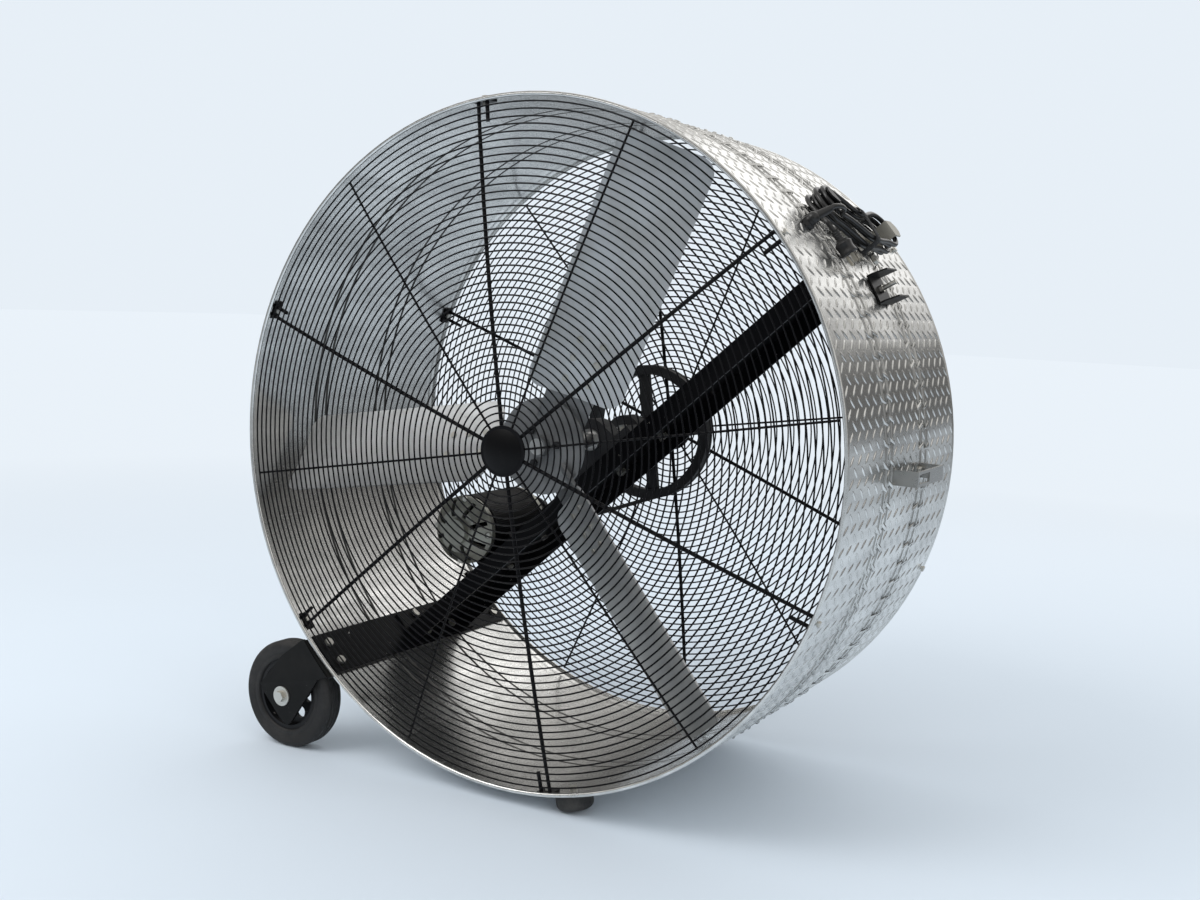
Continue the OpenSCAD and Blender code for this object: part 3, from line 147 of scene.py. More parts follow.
def grid_faces(rows: int, cols: int, wrap_rows: bool = False, wrap_cols: bool = False) -> np.ndarray:
    """Quads of a grid of points numbered row by row.

    Args:
        rows: number of rows.
        cols: number of columns.
        wrap_rows: whether the last row joins the first.
        wrap_cols: whether the last column joins the first.

    Returns:
        An array of four point numbers a face.
    """
    i = np.arange(rows if wrap_rows else rows - 1)[:, None]
    j = np.arange(cols if wrap_cols else cols - 1)[None, :]
    i2, j2 = (i + 1) % rows, (j + 1) % cols
    quads = [i * cols + j, i * cols + j2, i2 * cols + j2, i2 * cols + j]
    return np.stack([np.broadcast_to(q, (i.size, j.size)) for q in quads], axis=-1).reshape(-1, 4)


@dataclass
class Surface:
    """Points and faces of one piece, in millimetres of the row frame."""

    points: np.ndarray
    faces: list

    def piece(
        self, name: str, finish: "Finish", body: Body, slot: str, closed: bool = True
    ) -> bpy.types.Object:
        """Makes a Blender object of the surface, dresses it and lets it ride.

        Args:
            name: name of the piece.
            finish: its finish.
            body: the body that it rides on.
            slot: the record's material slot; not used.
            closed: whether its faces are turned outwards after merging doubles.

        Returns:
            The new object.
        """
        mesh = bpy.data.meshes.new(name)
        mesh.from_pydata((self.points * MM).tolist(), [], [tuple(map(int, f)) for f in self.faces])
        if closed:
            work = bmesh.new()
            work.from_mesh(mesh)
            bmesh.ops.remove_doubles(work, verts=work.verts, dist=1e-6)
            bmesh.ops.recalc_face_normals(work, faces=work.faces)
            work.to_mesh(mesh)
            work.free()
        mesh.polygons.foreach_set("use_smooth", np.ones(len(mesh.polygons), dtype=bool))
        mesh.update()
        made = bpy.data.objects.new(name, mesh)
        bpy.context.scene.collection.objects.link(made)
        mesh.materials.append(finish.material())
        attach(made, body.value)
        log.info("%s: %d points, %d faces", name, len(mesh.vertices), len(mesh.polygons))
        return made


def lofted(rings: np.ndarray) -> Surface:
    """A skin through rings of points, as a grid of ring and place on the ring.

    Args:
        rings: array of ring, point on the ring and coordinate.

    Returns:
        The surface, with a cap on both ends.
    """
    n, m = rings.shape[:2]
    faces = [tuple(f) for f in grid_faces(n, m, wrap_cols=True)]
    faces += [tuple(range(m))[::-1], tuple(range((n - 1) * m, n * m))]
    return Surface(rings.reshape(-1, 3), faces)


def ringed(rings: np.ndarray) -> Surface:
    """A skin that closes on itself both ways, as a tyre does.

    Args:
        rings: array of ring, point on the ring and coordinate.

    Returns:
        The surface.
    """
    n, m = rings.shape[:2]
    faces = [tuple(f) for f in grid_faces(n, m, wrap_rows=True, wrap_cols=True)]
    return Surface(rings.reshape(-1, 3), faces)


def revolved(profile: np.ndarray, steps: int) -> np.ndarray:
    """Turns a closed profile of radius and depth about the depth axis.

    Each point of the profile goes to radius times cosine and sine of the turn.

    Args:
        profile: rows of radius and depth.
        steps: number of steps of the turn.

    Returns:
        Array of step, profile point and right, depth and up.
    """
    turn = np.linspace(0, 2 * np.pi, steps, endpoint=False)[:, None]
    r, d = profile[None, :, 0], profile[None, :, 1]
    return np.stack([r * np.cos(turn), d + 0 * turn, r * np.sin(turn)], axis=-1)


def swept(path: np.ndarray, radius: float, sides: int, outward: np.ndarray) -> Surface:
    """A round tube along a path.

    At each point of the path the ring's first axis is the outward direction less its
    share along the path, and its second axis is square to both.

    Args:
        path: points of the centre line.
        radius: radius of the tube.
        sides: points of a ring.
        outward: a direction that is never along the path.

    Returns:
        The closed tube.
    """
    way = np.gradient(path, axis=0)
    way /= np.linalg.norm(way, axis=1, keepdims=True)
    side = outward - (way @ outward)[:, None] * way
    side /= np.linalg.norm(side, axis=1, keepdims=True)
    other = np.cross(way, side)
    turn = np.linspace(0, 2 * np.pi, sides, endpoint=False)
    rings = path[:, None] + radius * (
        side[:, None] * np.cos(turn)[None, :, None] + other[:, None] * np.sin(turn)[None, :, None]
    )
    return lofted(rings)


def superellipse(steps: int, power: float) -> np.ndarray:
    """A rounded square of half side one, turned once round.

    A point's radius is one over the power's root of the sum of its cosine and sine, each
    without its sign and raised to the power.

    Args:
        steps: number of its points.
        power: its squareness, 2 for a circle.

    Returns:
        Rows of right and up.
    """
    turn = np.linspace(0, 2 * np.pi, steps, endpoint=False)
    way = np.stack([np.cos(turn), np.sin(turn)], axis=-1)
    return way / (np.abs(way) ** power).sum(axis=1, keepdims=True) ** (1 / power)


# Shader maths


class Sock:
    """A socket whose sums and products add Math nodes to its tree."""

    def __init__(self, nodes: "Nodes", out: bpy.types.NodeSocket) -> None:
        """Keeps the tree and the socket.

        Args:
            nodes: the nodes that the socket is among.
            out: the output socket.
        """
        self.nodes, self.out = nodes, out

    def _math(self, kind: str, first: "Sock | float", second: "Sock | float") -> "Sock":
        """One Math node of a kind on two values."""
        return self.nodes.node("ShaderNodeMath", {"operation": kind}, {0: first, 1: second})

    def __add__(self, other: "Sock | float") -> "Sock":
        """Sum."""
        return self._math("ADD", self, other)

    def __radd__(self, other: float) -> "Sock":
        """Sum with a number first."""
        return self._math("ADD", other, self)

    def __sub__(self, other: "Sock | float") -> "Sock":
        """Difference."""
        return self._math("SUBTRACT", self, other)

    def __rsub__(self, other: float) -> "Sock":
        """Difference with a number first."""
        return self._math("SUBTRACT", other, self)

    def __mul__(self, other: "Sock | float") -> "Sock":
        """Product."""
        return self._math("MULTIPLY", self, other)

    def __rmul__(self, other: float) -> "Sock":
        """Product with a number first."""
        return self._math("MULTIPLY", other, self)

    def __abs__(self) -> "Sock":
        """Size without its sign."""
        return self._math("ABSOLUTE", self, 0.0)

    def over(self, edge: float, width: float) -> "Sock":
        """0 below edge and 1 above edge plus width, with a straight rise between.

        Args:
            edge: where the rise starts.
            width: how wide it is.

        Returns:
            The clamped value.
        """
        ends = {0: self, 1: edge, 2: edge + width}
        return self.nodes.node("ShaderNodeMapRange", {"clamp": True}, ends)


class Nodes:
    """A node tree under construction, with one method for every node."""

    def __init__(self, tree: bpy.types.NodeTree) -> None:
        """Empties the tree.

        Args:
            tree: the tree of a material or of the world.
        """
        self.tree = tree
        tree.nodes.clear()

    def plug(self, socket: bpy.types.NodeSocket, value: object) -> None:
        """Links a Sock to a socket, or sets the socket's own value.

        Args:
            socket: an input socket.
            value: a Sock, a number, a vector or a colour of three numbers.
        """
        if isinstance(value, Sock):
            self.tree.links.new(value.out, socket)
        elif socket.type == "RGBA":
            socket.default_value = (*value, 1.0)
        else:
            socket.default_value = value

    def node(self, kind: str, settings: dict, sockets: dict, out: int | str = 0) -> Sock:
        """Adds a node.

        Args:
            kind: Blender's name of the node type.
            settings: its own settings, set first.
            sockets: values or links of its inputs by name or number.
            out: the output that is returned.

        Returns:
            The output as a Sock.
        """
        made = self.tree.nodes.new(kind)
        for key, value in settings.items():
            setattr(made, key, value)
        for key, value in sockets.items():
            self.plug(made.inputs[key], value)
        return Sock(self, made.outputs[out])

    def glow(self, colour: tuple, level: float) -> Sock:
        """An even light of the world."""
        return self.node("ShaderNodeBackground", {}, {"Color": colour, "Strength": level})

    def either(self, share: Sock, first: Sock, second: Sock) -> Sock:
        """A mix of two shaders by a share."""
        return self.node("ShaderNodeMixShader", {}, {0: share, 1: first, 2: second})


class Shader(Nodes):
    """A material under construction, with a Principled shader at its end."""

    def __init__(self, name: str) -> None:
        """Starts the material.

        Args:
            name: name of the material.
        """
        self.material = bpy.data.materials.new(name)
        self.material.use_nodes = True
        super().__init__(self.material.node_tree)
        self.main = self.tree.nodes.new("ShaderNodeBsdfPrincipled")
        out = self.tree.nodes.new("ShaderNodeOutputMaterial")
        self.tree.links.new(self.main.outputs[0], out.inputs[0])

    def place(self, scale: tuple = (1, 1, 1), turn: tuple = (0, 0, 0)) -> Sock:
        """Object coordinates in metres, turned and scaled.

        Args:
            scale: scale along the three axes.
            turn: turn about the three axes, in radians.

        Returns:
            The vector.
        """
        here = self.node("ShaderNodeTexCoord", {}, {}, "Object")
        if scale == (1, 1, 1) and turn == (0, 0, 0):
            return here
        turned = self.node("ShaderNodeMapping", {}, {"Vector": here, "Rotation": turn})
        return self.node("ShaderNodeMapping", {}, {"Vector": turned, "Scale": scale})

    def noise(self, where: Sock, scale: float, detail: float = 3.0, rough: float = 0.55) -> Sock:
        """Soft noise from 0 to 1."""
        values = {"Vector": where, "Scale": scale, "Detail": detail, "Roughness": rough}
        return self.node("ShaderNodeTexNoise", {}, values)

    def blend(self, share: Sock | float, first: object, second: object) -> Sock:
        """A colour between two, by a share."""
        return self.node("ShaderNodeMix", {"data_type": "RGBA"}, {0: share, 6: first, 7: second}, 2)

    def bump(self, height: Sock, strength: float, distance: float) -> Sock:
        """A bump from a height, in metres of distance."""
        values = {"Height": height, "Strength": strength, "Distance": distance}
        return self.node("ShaderNodeBump", {}, values, "Normal")

    def finish(self, **sockets: object) -> bpy.types.Material:
        """Sets the Principled shader's sockets.

        Args:
            sockets: values or links by the socket's name, with _ for a blank.

        Returns:
            The material.
        """
        for key, value in sockets.items():
            self.plug(self.main.inputs[key.replace("_", " ")], value)
        return self.material


# Finishes

# Materials that are made already, by the name of their finish
_made: dict = {}


@dataclass(frozen=True)
class Finish:
    """A finish with a name and a main colour."""

    name: str
    colour: tuple

    def material(self) -> bpy.types.Material:
        """The finish's material, made at its first use.

        Returns:
            The material.
        """
        if self.name not in _made:
            _made[self.name] = self.paint(Shader(self.name))
        return _made[self.name]

    def dimmed(self, share: float) -> tuple:
        """The main colour at a share of its brightness."""
        return tuple(c * share for c in self.colour)

    def paint(self, sh: Shader) -> bpy.types.Material:
        """Lays the finish's nodes. Each kind of finish has its own."""
        raise NotImplementedError


@dataclass(frozen=True)
class TreadPlate(Finish):
    """Bright rolled tread plate with smears, a dull film, waves and painted shade in the ridges' hollows.

    Attributes:
        rough: roughness where it is brightest.
        film: brightness of the dull film against the clear metal.
        wave: depth of the rolled sheet's waves, in metres.
        hollow_half: half the width of the painted shade in a hollow, in metres.
        hollow_deep: how far past the sheet's outer face the painted shade reaches, in metres.
        darkening: colour of the painted shade in the hollows.
    """

    rough: float = 0.13
    film: float = 0.72
    wave: float = 0.0022
    hollow_half: float = 0.003
    hollow_deep: float = 0.0011
    darkening: tuple = (0.05, 0.048, 0.045)

    def hollows(self, sh: Shader, here: Sock) -> Sock:
        """Where painted shade lies: the ridges' hollows on the sheet's inner side.

        Args:
            sh: the shader under construction.
            here: its object coordinates.

        Returns:
            1 in a hollow and 0 elsewhere.
        """
        depth = sh.node("ShaderNodeSeparateXYZ", {}, {0: here}, "Y") - LAYOUT.front_y * MM
        flat = sh.node("ShaderNodeVectorMath", {"operation": "MULTIPLY"}, {0: here, 1: (1.0, 0.0, 1.0)})
        axis = (LAYOUT.axis_x * MM, 0.0, LAYOUT.axis_z * MM)
        away = sh.node("ShaderNodeVectorMath", {"operation": "DISTANCE"}, {0: flat, 1: axis}, "Value")
        found: Sock | float = 0.0
        for bead in LAYOUT.bead_depths:
            off = abs(abs(depth - bead * MM) - LAYOUT.ridge_gap / 2 * MM)
            found = found + (1 - off.over(self.hollow_half, self.hollow_half / 3))
        return found * (1 - away.over(LAYOUT.sheet_r * MM + self.hollow_deep, self.hollow_deep / 4))

    def paint(self, sh: Shader) -> bpy.types.Material:
        """Smears from stretched noise, a film from wide noise, waves of the rolled sheet as bump, painted
        shade darkening the ridges' hollows.

        Args:
            sh: the shader under construction.

        Returns:
            The material.
        """
        here = sh.place()
        cloud = sh.noise(here, scale=5.0, detail=4.0)
        wave = sh.noise(here, scale=9.0, detail=1.0)
        smear = sh.noise(sh.place((26, 3, 26)), scale=1.0, detail=5.0, rough=0.65)
        grain = sh.noise(sh.place((90, 700, 90)), scale=1.0, detail=2.0)
        clear = (cloud * smear).over(0.16, 0.2)
        metal = sh.blend(clear, self.dimmed(self.film), self.colour)
        # Painted shade: the ridges' hollows get a dark colour in the base colour, and a higher roughness.
        darkening = self.hollows(sh, here)
        return sh.finish(
            Base_Color=sh.blend(darkening * (0.6 + cloud * 0.5), metal, self.darkening),
            Metallic=0.96,
            Roughness=self.rough + (1 - clear) * 0.12 + grain * 0.06 + darkening * 0.3,
            Normal=sh.bump(wave + grain * 0.03, 0.8, self.wave),
        )


@dataclass(frozen=True)
class SatinPaint(Finish):
    """Satin paint with orange peel, dust in patches and small chips.

    Attributes:
        rough: roughness where it is clean.
        dust: share of dust in its patches.
        chips: how many chips there are, from 0.
        peel: fineness of the orange peel.
        shine: specular level.
        dust_colour: colour of the dust.
        chip_colour: colour under a chip.
    """

    rough: float
    dust: float
    chips: float = 0.0
    peel: float = 420.0
    shine: float = 0.3
    dust_colour: tuple = (0.23, 0.22, 0.2)
    chip_colour: tuple = (0.42, 0.4, 0.37)

    def paint(self, sh: Shader) -> bpy.types.Material:
        """Peel from fine noise, dust from wide noise on the paint, chips from rough noise.

        Args:
            sh: the shader under construction.

        Returns:
            The material.
        """
        here = sh.place()
        peel = sh.noise(here, self.peel, detail=2.0)
        dust = sh.noise(here, scale=9.0, detail=5.0, rough=0.6).over(0.46, 0.3) * self.dust
        colour = sh.blend(dust, self.colour, self.dust_colour)
        if self.chips:
            chip = sh.noise(here, scale=60.0, detail=6.0, rough=0.75).over(0.71 - self.chips, 0.02)
            colour = sh.blend(chip, colour, self.chip_colour)
        return sh.finish(
            Base_Color=colour,
            Metallic=0.0,
            Specular_IOR_Level=self.shine,
            Roughness=self.rough + dust * 0.5 + peel * 0.05,
            Normal=sh.bump(peel, 0.3, 0.0002),
        )


@dataclass(frozen=True)
class Rubber(Finish):
    """Moulded rubber: nearly black, dull, with scuffs that are paler and rougher.

    Attributes:
        rough: roughness where it is clean.
        scuff: strength of the scuffs.
        scuff_colour: their colour.
    """

    rough: float = 0.62
    scuff: float = 0.35
    scuff_colour: tuple = (0.16, 0.15, 0.14)

    def paint(self, sh: Shader) -> bpy.types.Material:
        """Scuffs from wide noise cut by fine noise, a leathery bump.

        Args:
            sh: the shader under construction.

        Returns:
            The material.
        """
        here = sh.place()
        fine = sh.noise(here, scale=900.0)
        wide = sh.noise(here, scale=22.0, detail=5.0, rough=0.65)
        mark = (wide * 0.7 + fine * 0.3).over(0.47, 0.22) * self.scuff
        return sh.finish(
            Base_Color=sh.blend(mark, self.colour, self.scuff_colour),
            Roughness=self.rough + mark * 0.4,
            Specular_IOR_Level=0.35,
            Normal=sh.bump(fine * 0.6 + wide * 0.4, 0.4, 0.0004),
        )


@dataclass(frozen=True)
class Casting(Finish):
    """A casting, bare or painted: a sandy skin with darker hollows.

    Attributes:
        rough: roughness where it is smooth.
        metallic: share of bare metal.
        hollow: brightness of the hollows against the skin.
    """

    rough: float = 0.55
    metallic: float = 0.25
    hollow: float = 0.6

    def paint(self, sh: Shader) -> bpy.types.Material:
        """Sand from fine noise, tone from wide noise.

        Args:
            sh: the shader under construction.

        Returns:
            The material.
        """
        here = sh.place()
        sand = sh.noise(here, scale=520.0, detail=4.0, rough=0.7)
        wide = sh.noise(here, scale=16.0, detail=4.0)
        return sh.finish(
            Base_Color=sh.blend(wide.over(0.35, 0.35), self.dimmed(self.hollow), self.colour),
            Metallic=self.metallic,
            Roughness=self.rough + sand * 0.15,
            Normal=sh.bump(sand * 0.8 + wide * 0.2, 0.55, 0.0006),
        )


@dataclass(frozen=True)
class DrawnMetal(Finish):
    """Bare metal with fine lines along one direction and a film of handling.

    Attributes:
        rough: roughness where it is clean.
        metallic: share of bare metal.
        scale: fineness of the lines along the three axes.
        turn: turn of the lines about the three axes, in radians.
        tint: colour of the film.
        film: strength of the film.
    """

    rough: float
    metallic: float = 0.95
    scale: tuple = (900, 30, 900)
    turn: tuple = (0, 0, 0)
    tint: tuple = (0.5, 0.48, 0.44)
    film: float = 0.3

    def paint(self, sh: Shader) -> bpy.types.Material:
        """Lines from noise stretched along the drawing direction, a film from wide noise.

        Args:
            sh: the shader under construction.

        Returns:
            The material.
        """
        line = sh.noise(sh.place(self.scale, self.turn), scale=1.0, rough=0.6)
        film = sh.noise(sh.place(), scale=14.0, detail=5.0, rough=0.6).over(0.42, 0.3) * self.film
        return sh.finish(
            Base_Color=sh.blend(film, self.colour, self.tint),
            Metallic=self.metallic,
            Roughness=self.rough + line * 0.14 + film * 0.3,
            Normal=sh.bump(line, 0.25, 0.0002),
        )


@dataclass(frozen=True)
class Moulded(Finish):
    """Moulded plastic: even, with a faint texture and fingermarks.

    Attributes:
        rough: roughness where it is clean.
        pale: what a fingermark adds to twice the colour.
    """

    rough: float
    pale: float = 0.01

    def paint(self, sh: Shader) -> bpy.types.Material:
        """A fine spark texture as bump, marks in the colour and the roughness.

        Args:
            sh: the shader under construction.

        Returns:
            The material.
        """
        here = sh.place()
        spark = sh.noise(here, scale=1400.0, detail=2.0)
        marks = sh.noise(here, scale=35.0, detail=4.0)
        marked = tuple(c * 2 + self.pale for c in self.colour)
        return sh.finish(
            Base_Color=sh.blend(marks.over(0.5, 0.3) * 0.35, self.colour, marked),
            Roughness=self.rough + marks * 0.12,
            Normal=sh.bump(spark, 0.2, 0.00012),
        )


@dataclass(frozen=True)
class Jacket(Finish):
    """Rubber jacket of a mains cord, with a fine grain and patches of grime.

    Attributes:
        rough: roughness where it is clean.
        darkening: the grime's colour.
    """

    rough: float = 0.24
    darkening: tuple = (0.03, 0.029, 0.028)

    def paint(self, sh: Shader) -> bpy.types.Material:
        """Grain from fine noise, grime from wide noise.

        Args:
            sh: the shader under construction.

        Returns:
            The material.
        """
        here = sh.place()
        grain = sh.noise(here, scale=1100.0)
        darkening = sh.noise(here, scale=45.0, detail=4.0)
        return sh.finish(
            Base_Color=sh.blend(darkening.over(0.45, 0.3) * 0.5, self.colour, self.darkening),
            Roughness=self.rough + darkening * 0.15,
            Specular_IOR_Level=0.6,
            Normal=sh.bump(grain * 0.6 + darkening * 0.4, 0.3, 0.0003),
        )


@dataclass(frozen=True)
class Webbing(Finish):
    """Woven strap with ribs across it and lint.

    Attributes:
        ribs: fineness of the ribs.
        lint_colour: colour of the lint.
    """

    ribs: float = 260.0
    lint_colour: tuple = (0.16, 0.16, 0.155)

    def paint(self, sh: Shader) -> bpy.types.Material:
        """Ribs from a wave along the drum, lint from noise.

        Args:
            sh: the shader under construction.

        Returns:
            The material.
        """
        here = sh.place()
        values = {"Vector": here, "Scale": self.ribs, "Distortion": 0.6}
        rib = sh.node("ShaderNodeTexWave", {"bands_direction": "Y"}, values)
        lint = sh.noise(here, scale=300.0, detail=4.0, rough=0.7)
        return sh.finish(
            Base_Color=sh.blend(lint.over(0.55, 0.2) * 0.5, self.colour, self.lint_colour),
            Roughness=0.82,
            Normal=sh.bump(rib * 0.7 + lint * 0.3, 0.6, 0.0004),
        )


class Palette:
    """All finishes of the fan."""

    TREAD = TreadPlate("tread_plate", (0.80, 0.80, 0.78))
    WIRE = SatinPaint("guard_wire_coat", (0.004, 0.004, 0.005), rough=0.34, dust=0.02, shine=0.12)
    BLACK = SatinPaint(
        "black_frame_paint", (0.004, 0.004, 0.005), rough=0.3, dust=0.02, chips=0.03, shine=0.07,
    )
    BRACKET = SatinPaint(
        "dull_bracket_paint", (0.006, 0.006, 0.006), rough=0.34, dust=0.03, chips=0.04, shine=0.12,
    )
    PLATED = DrawnMetal("plated_bracket", (0.36, 0.35, 0.31), rough=0.42, metallic=0.75)
    BADGE = SatinPaint(
        "badge_black", (0.003, 0.003, 0.0035), rough=0.3, dust=0.02, peel=900.0, shine=0.12,
    )
    CASTING = Casting("dark_casting", (0.024, 0.025, 0.028))
    SPIDER = Casting("spider_steel", (0.30, 0.305, 0.31), rough=0.4, metallic=0.65)
    SHAFT = DrawnMetal("ground_shaft", (0.62, 0.62, 0.61), rough=0.22)
    ZINC = DrawnMetal(
        "zinc_fastener", (0.6, 0.59, 0.55), rough=0.32, scale=(500, 500, 500), tint=(0.42, 0.38, 0.28),
    )
    TYRE = Rubber("tyre_rubber", (0.014, 0.0135, 0.0135), scuff=0.16)
    FOOT = Rubber("foot_rubber", (0.02, 0.02, 0.02), rough=0.7)
    BELT = Rubber("belt_rubber", (0.016, 0.016, 0.016), rough=0.55, scuff=0.2)
    HUB = SatinPaint(
        "wheel_hub_paint", (0.008, 0.008, 0.009), rough=0.35, dust=0.06, chips=0.03, shine=0.2,
    )
    MOTOR = SatinPaint(
        "motor_paint", (0.004, 0.004, 0.005), rough=0.38, dust=0.02, peel=700.0, shine=0.08,
    )
    BELL = Casting("motor_bell_alloy", (0.46, 0.46, 0.41), rough=0.34, metallic=0.8)
    HANDLE = DrawnMetal("handle_strap", (0.40, 0.40, 0.39), rough=0.2, scale=(700, 20, 700))
    CORD = Jacket("cord_jacket", (0.007, 0.007, 0.0075))
    STRAP = Webbing("cord_strap", (0.02, 0.02, 0.021))
    PLUG = Moulded("plug_vinyl", (0.008, 0.008, 0.0085), rough=0.3)
    CONTACT = DrawnMetal(
        "contact_nickel", (0.40, 0.38, 0.33), rough=0.3, scale=(600, 600, 60), tint=(0.3, 0.26, 0.2),
    )

    @staticmethod
    def blade(angle: float) -> Finish:
        """Mill finish of a blade, drawn along the blade.

        Args:
            angle: the blade's turn round the fan's axis, in degrees.

        Returns:
            The finish.
        """
        return DrawnMetal(
            f"blade_sheet_{round(angle)}", (0.64, 0.65, 0.66), rough=0.3, metallic=0.85,
            scale=(18, 600, 600), turn=(0, math.radians(angle), 0), tint=(0.48, 0.48, 0.46), film=0.5,
        )


def dress(node: str, finish: Finish) -> None:
    """Gives every material slot of a CAD node one finish.

    Args:
        node: name of the node.
        finish: its finish.
    """
    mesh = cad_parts[node].data
    if not mesh.materials:
        mesh.materials.append(finish.material())
    for k in range(len(mesh.materials)):
        mesh.materials[k] = finish.material()


# Sub-assemblies


@dataclass
class TreadDrum:
    """The rolled drum: its sheet is the frame's, its tread lugs are made here.

    Attributes:
        pitch: way from lug to lug in one lattice, along the drum and round it.
        lug_length: length of a lug.
        lug_width: its width.
        lug_sides: points of its outline.
        lug_point: power of the outline's sine, which makes its ends pointed.
        shoulder: size of the ring between a lug's edge and its top, against the edge.
        sunk: depth of a lug's edge in the sheet.
        rim_free: width without lugs at each rim.
        ridge_r: radius of a rolled ridge.
    """

    pitch: float = 36.5
    lug_length: float = 27.0
    lug_width: float = 6.4
    lug_sides: int = 10
    lug_point: float = 1.3
    shoulder: float = 0.72
    sunk: float = 0.15
    rim_free: float = 14.0
    ridge_r: float = 4.0

    def places(self) -> tuple[np.ndarray, np.ndarray, np.ndarray]:
        """Where the lugs stand: on two square lattices, the second one in the first one's gaps.

        Returns:
            Arrays of turn in radians, depth in millimetres and lug angle in radians.
        """
        half = self.pitch / 2
        columns = int(round(math.pi * LAYOUT.sheet_r / half)) * 2
        rows = int((LAYOUT.length - 2 * self.rim_free) // half) + 1
        i, j = np.meshgrid(np.arange(columns), np.arange(rows), indexing="ij")
        depth = LAYOUT.length / 2 + (j - (rows - 1) / 2) * half
        turn = i * 2 * np.pi / columns
        lean = np.radians(np.where(i % 2 == 0, 45.0, -45.0))
        own = (i + j) % 2 == 0
        return turn[own], depth[own], lean[own]

    def ridge(self, depth: np.ndarray) -> np.ndarray:
        """Height of the rolled ridges: a half round on the sheet at each ridge.

        Args:
            depth: depths behind the front rim.

        Returns:
            The height over the plain sheet at each depth.
        """
        high = np.zeros_like(depth)
        for bead in LAYOUT.bead_depths:
            for side in (-0.5, 0.5):
                off = depth - bead - side * LAYOUT.ridge_gap
                high += np.sqrt(np.maximum(self.ridge_r ** 2 - off ** 2, 0))
        return high

    def lugs(self) -> Surface:
        """All lugs: a pointed oval with an edge, a shoulder ring and a top.

        The height is the square root of one minus the square of the way from the
        middle, so that a lug is domed as half an ellipse.

        Returns:
            The open shells, sunk a little in the sheet.
        """
        turn, depth, lean = self.places()
        n = self.lug_sides
        ray = np.linspace(0, 2 * np.pi, n, endpoint=False)
        share = np.array([1.0, self.shoulder])[:, None]
        along = share * np.cos(ray) * self.lug_length / 2
        across = share * np.sign(np.sin(ray)) * np.abs(np.sin(ray)) ** self.lug_point * self.lug_width / 2
        high = np.sqrt(1 - share ** 2 + 0 * ray)
        along, across = np.append(along, 0), np.append(across, 0)
        rise = LAYOUT.lug_r - LAYOUT.sheet_r
        high = np.append(high, 1.0) * (rise + self.sunk) - self.sunk
        c, s = np.cos(lean)[:, None], np.sin(lean)[:, None]
        deep = depth[:, None] + along * s + across * c
        angle = turn[:, None] + (along * c - across * s) / LAYOUT.sheet_r
        r = LAYOUT.sheet_r + high + self.ridge(deep)
        points = LAYOUT.around(r, angle, deep)
        ring = np.arange(n)
        after = (ring + 1) % n
        skirt = np.stack([ring + n, after + n, after, ring], axis=-1)
        top = np.stack([np.full(n, 2 * n), after + n, ring + n], axis=-1)
        base = np.arange(len(turn))[:, None, None] * (2 * n + 1)
        quads, tris = (skirt + base).reshape(-1, 4), (top + base).reshape(-1, 3)
        return Surface(points.reshape(-1, 3), [tuple(f) for f in quads] + [tuple(f) for f in tris])

    def build(self) -> None:
        """Makes the lugs and dresses the sheet."""
        self.lugs().piece("tread_lugs", Palette.TREAD, Body.DRUM, "galvanised_sheet", closed=False)
        dress("drum_shell", Palette.TREAD)


@dataclass
class Guard:
    """A wire guard: the frame's wires, with weld spots where rings meet spokes.

    Attributes:
        end: the end of the drum that it closes.
        first_spoke: turn of its first spoke, in degrees.
        spokes: number of its spokes, thin and thick.
        ring_wire: thickness of a ring.
        pitch: way from ring to ring.
        count: number of rings.
        outer_r: radius of the outermost ring.
        rise: height of the guard's dome.
        inset: depth of its rim in the drum.
        spot_r: radius of a weld spot.
        spot_flat: height of a spot against its width.
        spot_grid: rows and columns of a spot's points.
    """

    end: End
    first_spoke: float
    spokes: int = 12
    ring_wire: float = 3.0
    pitch: float = 12.7
    count: int = 44
    outer_r: float = 600.0
    rise: float = 32.0
    inset: float = 6.0
    spot_r: float = 2.6
    spot_flat: float = 0.55
    spot_grid: tuple = (5, 6)

    def arc_depth(self, r: np.ndarray) -> np.ndarray:
        """Depth of the dome behind the rim at a radius: a circle's arc through rim and crown."""
        arc = (self.outer_r ** 2 + self.rise ** 2) / (2 * self.rise)
        return arc + self.inset - self.rise - np.sqrt(arc ** 2 - r ** 2)

    def spots(self) -> Surface:
        """Flattened balls at every crossing, as a small globe grid placed by arrays.

        Returns:
            The closed balls.
        """
        r = self.outer_r - np.arange(self.count) * self.pitch
        spoke = np.radians(self.first_spoke + 360 / self.spokes * np.arange(self.spokes))
        r, spoke = (a.ravel() for a in np.meshgrid(r, spoke))
        depth = self.arc_depth(r) + self.ring_wire / 2
        if self.end is End.REAR:
            depth = LAYOUT.length - depth
        rows, cols = self.spot_grid
        lat = np.linspace(-np.pi / 2, np.pi / 2, rows)[:, None]
        lon = np.linspace(0, 2 * np.pi, cols, endpoint=False)[None, :]
        globe = [np.cos(lat) * np.cos(lon), np.sin(lat) + 0 * lon, np.cos(lat) * np.sin(lon)]
        size = self.spot_r * np.array([1.0, self.spot_flat, 1.0])
        ball = np.stack(globe, axis=-1).reshape(-1, 3) * size
        points = LAYOUT.around(r, spoke, depth)[:, None] + ball
        base = np.arange(len(r))[:, None, None] * len(ball)
        faces = (grid_faces(rows, cols, wrap_cols=True) + base).reshape(-1, 4)
        return Surface(points.reshape(-1, 3), [tuple(f) for f in faces])

    def build(self) -> None:
        """Makes the weld spots and dresses the wires."""
        self.spots().piece(f"{self.end.value}_guard_welds", Palette.WIRE, Body.DRUM, "wire_paint")
        dress(f"{self.end.value}_guard_frame", Palette.WIRE)
        dress(f"{self.end.value}_guard_rings", Palette.WIRE)


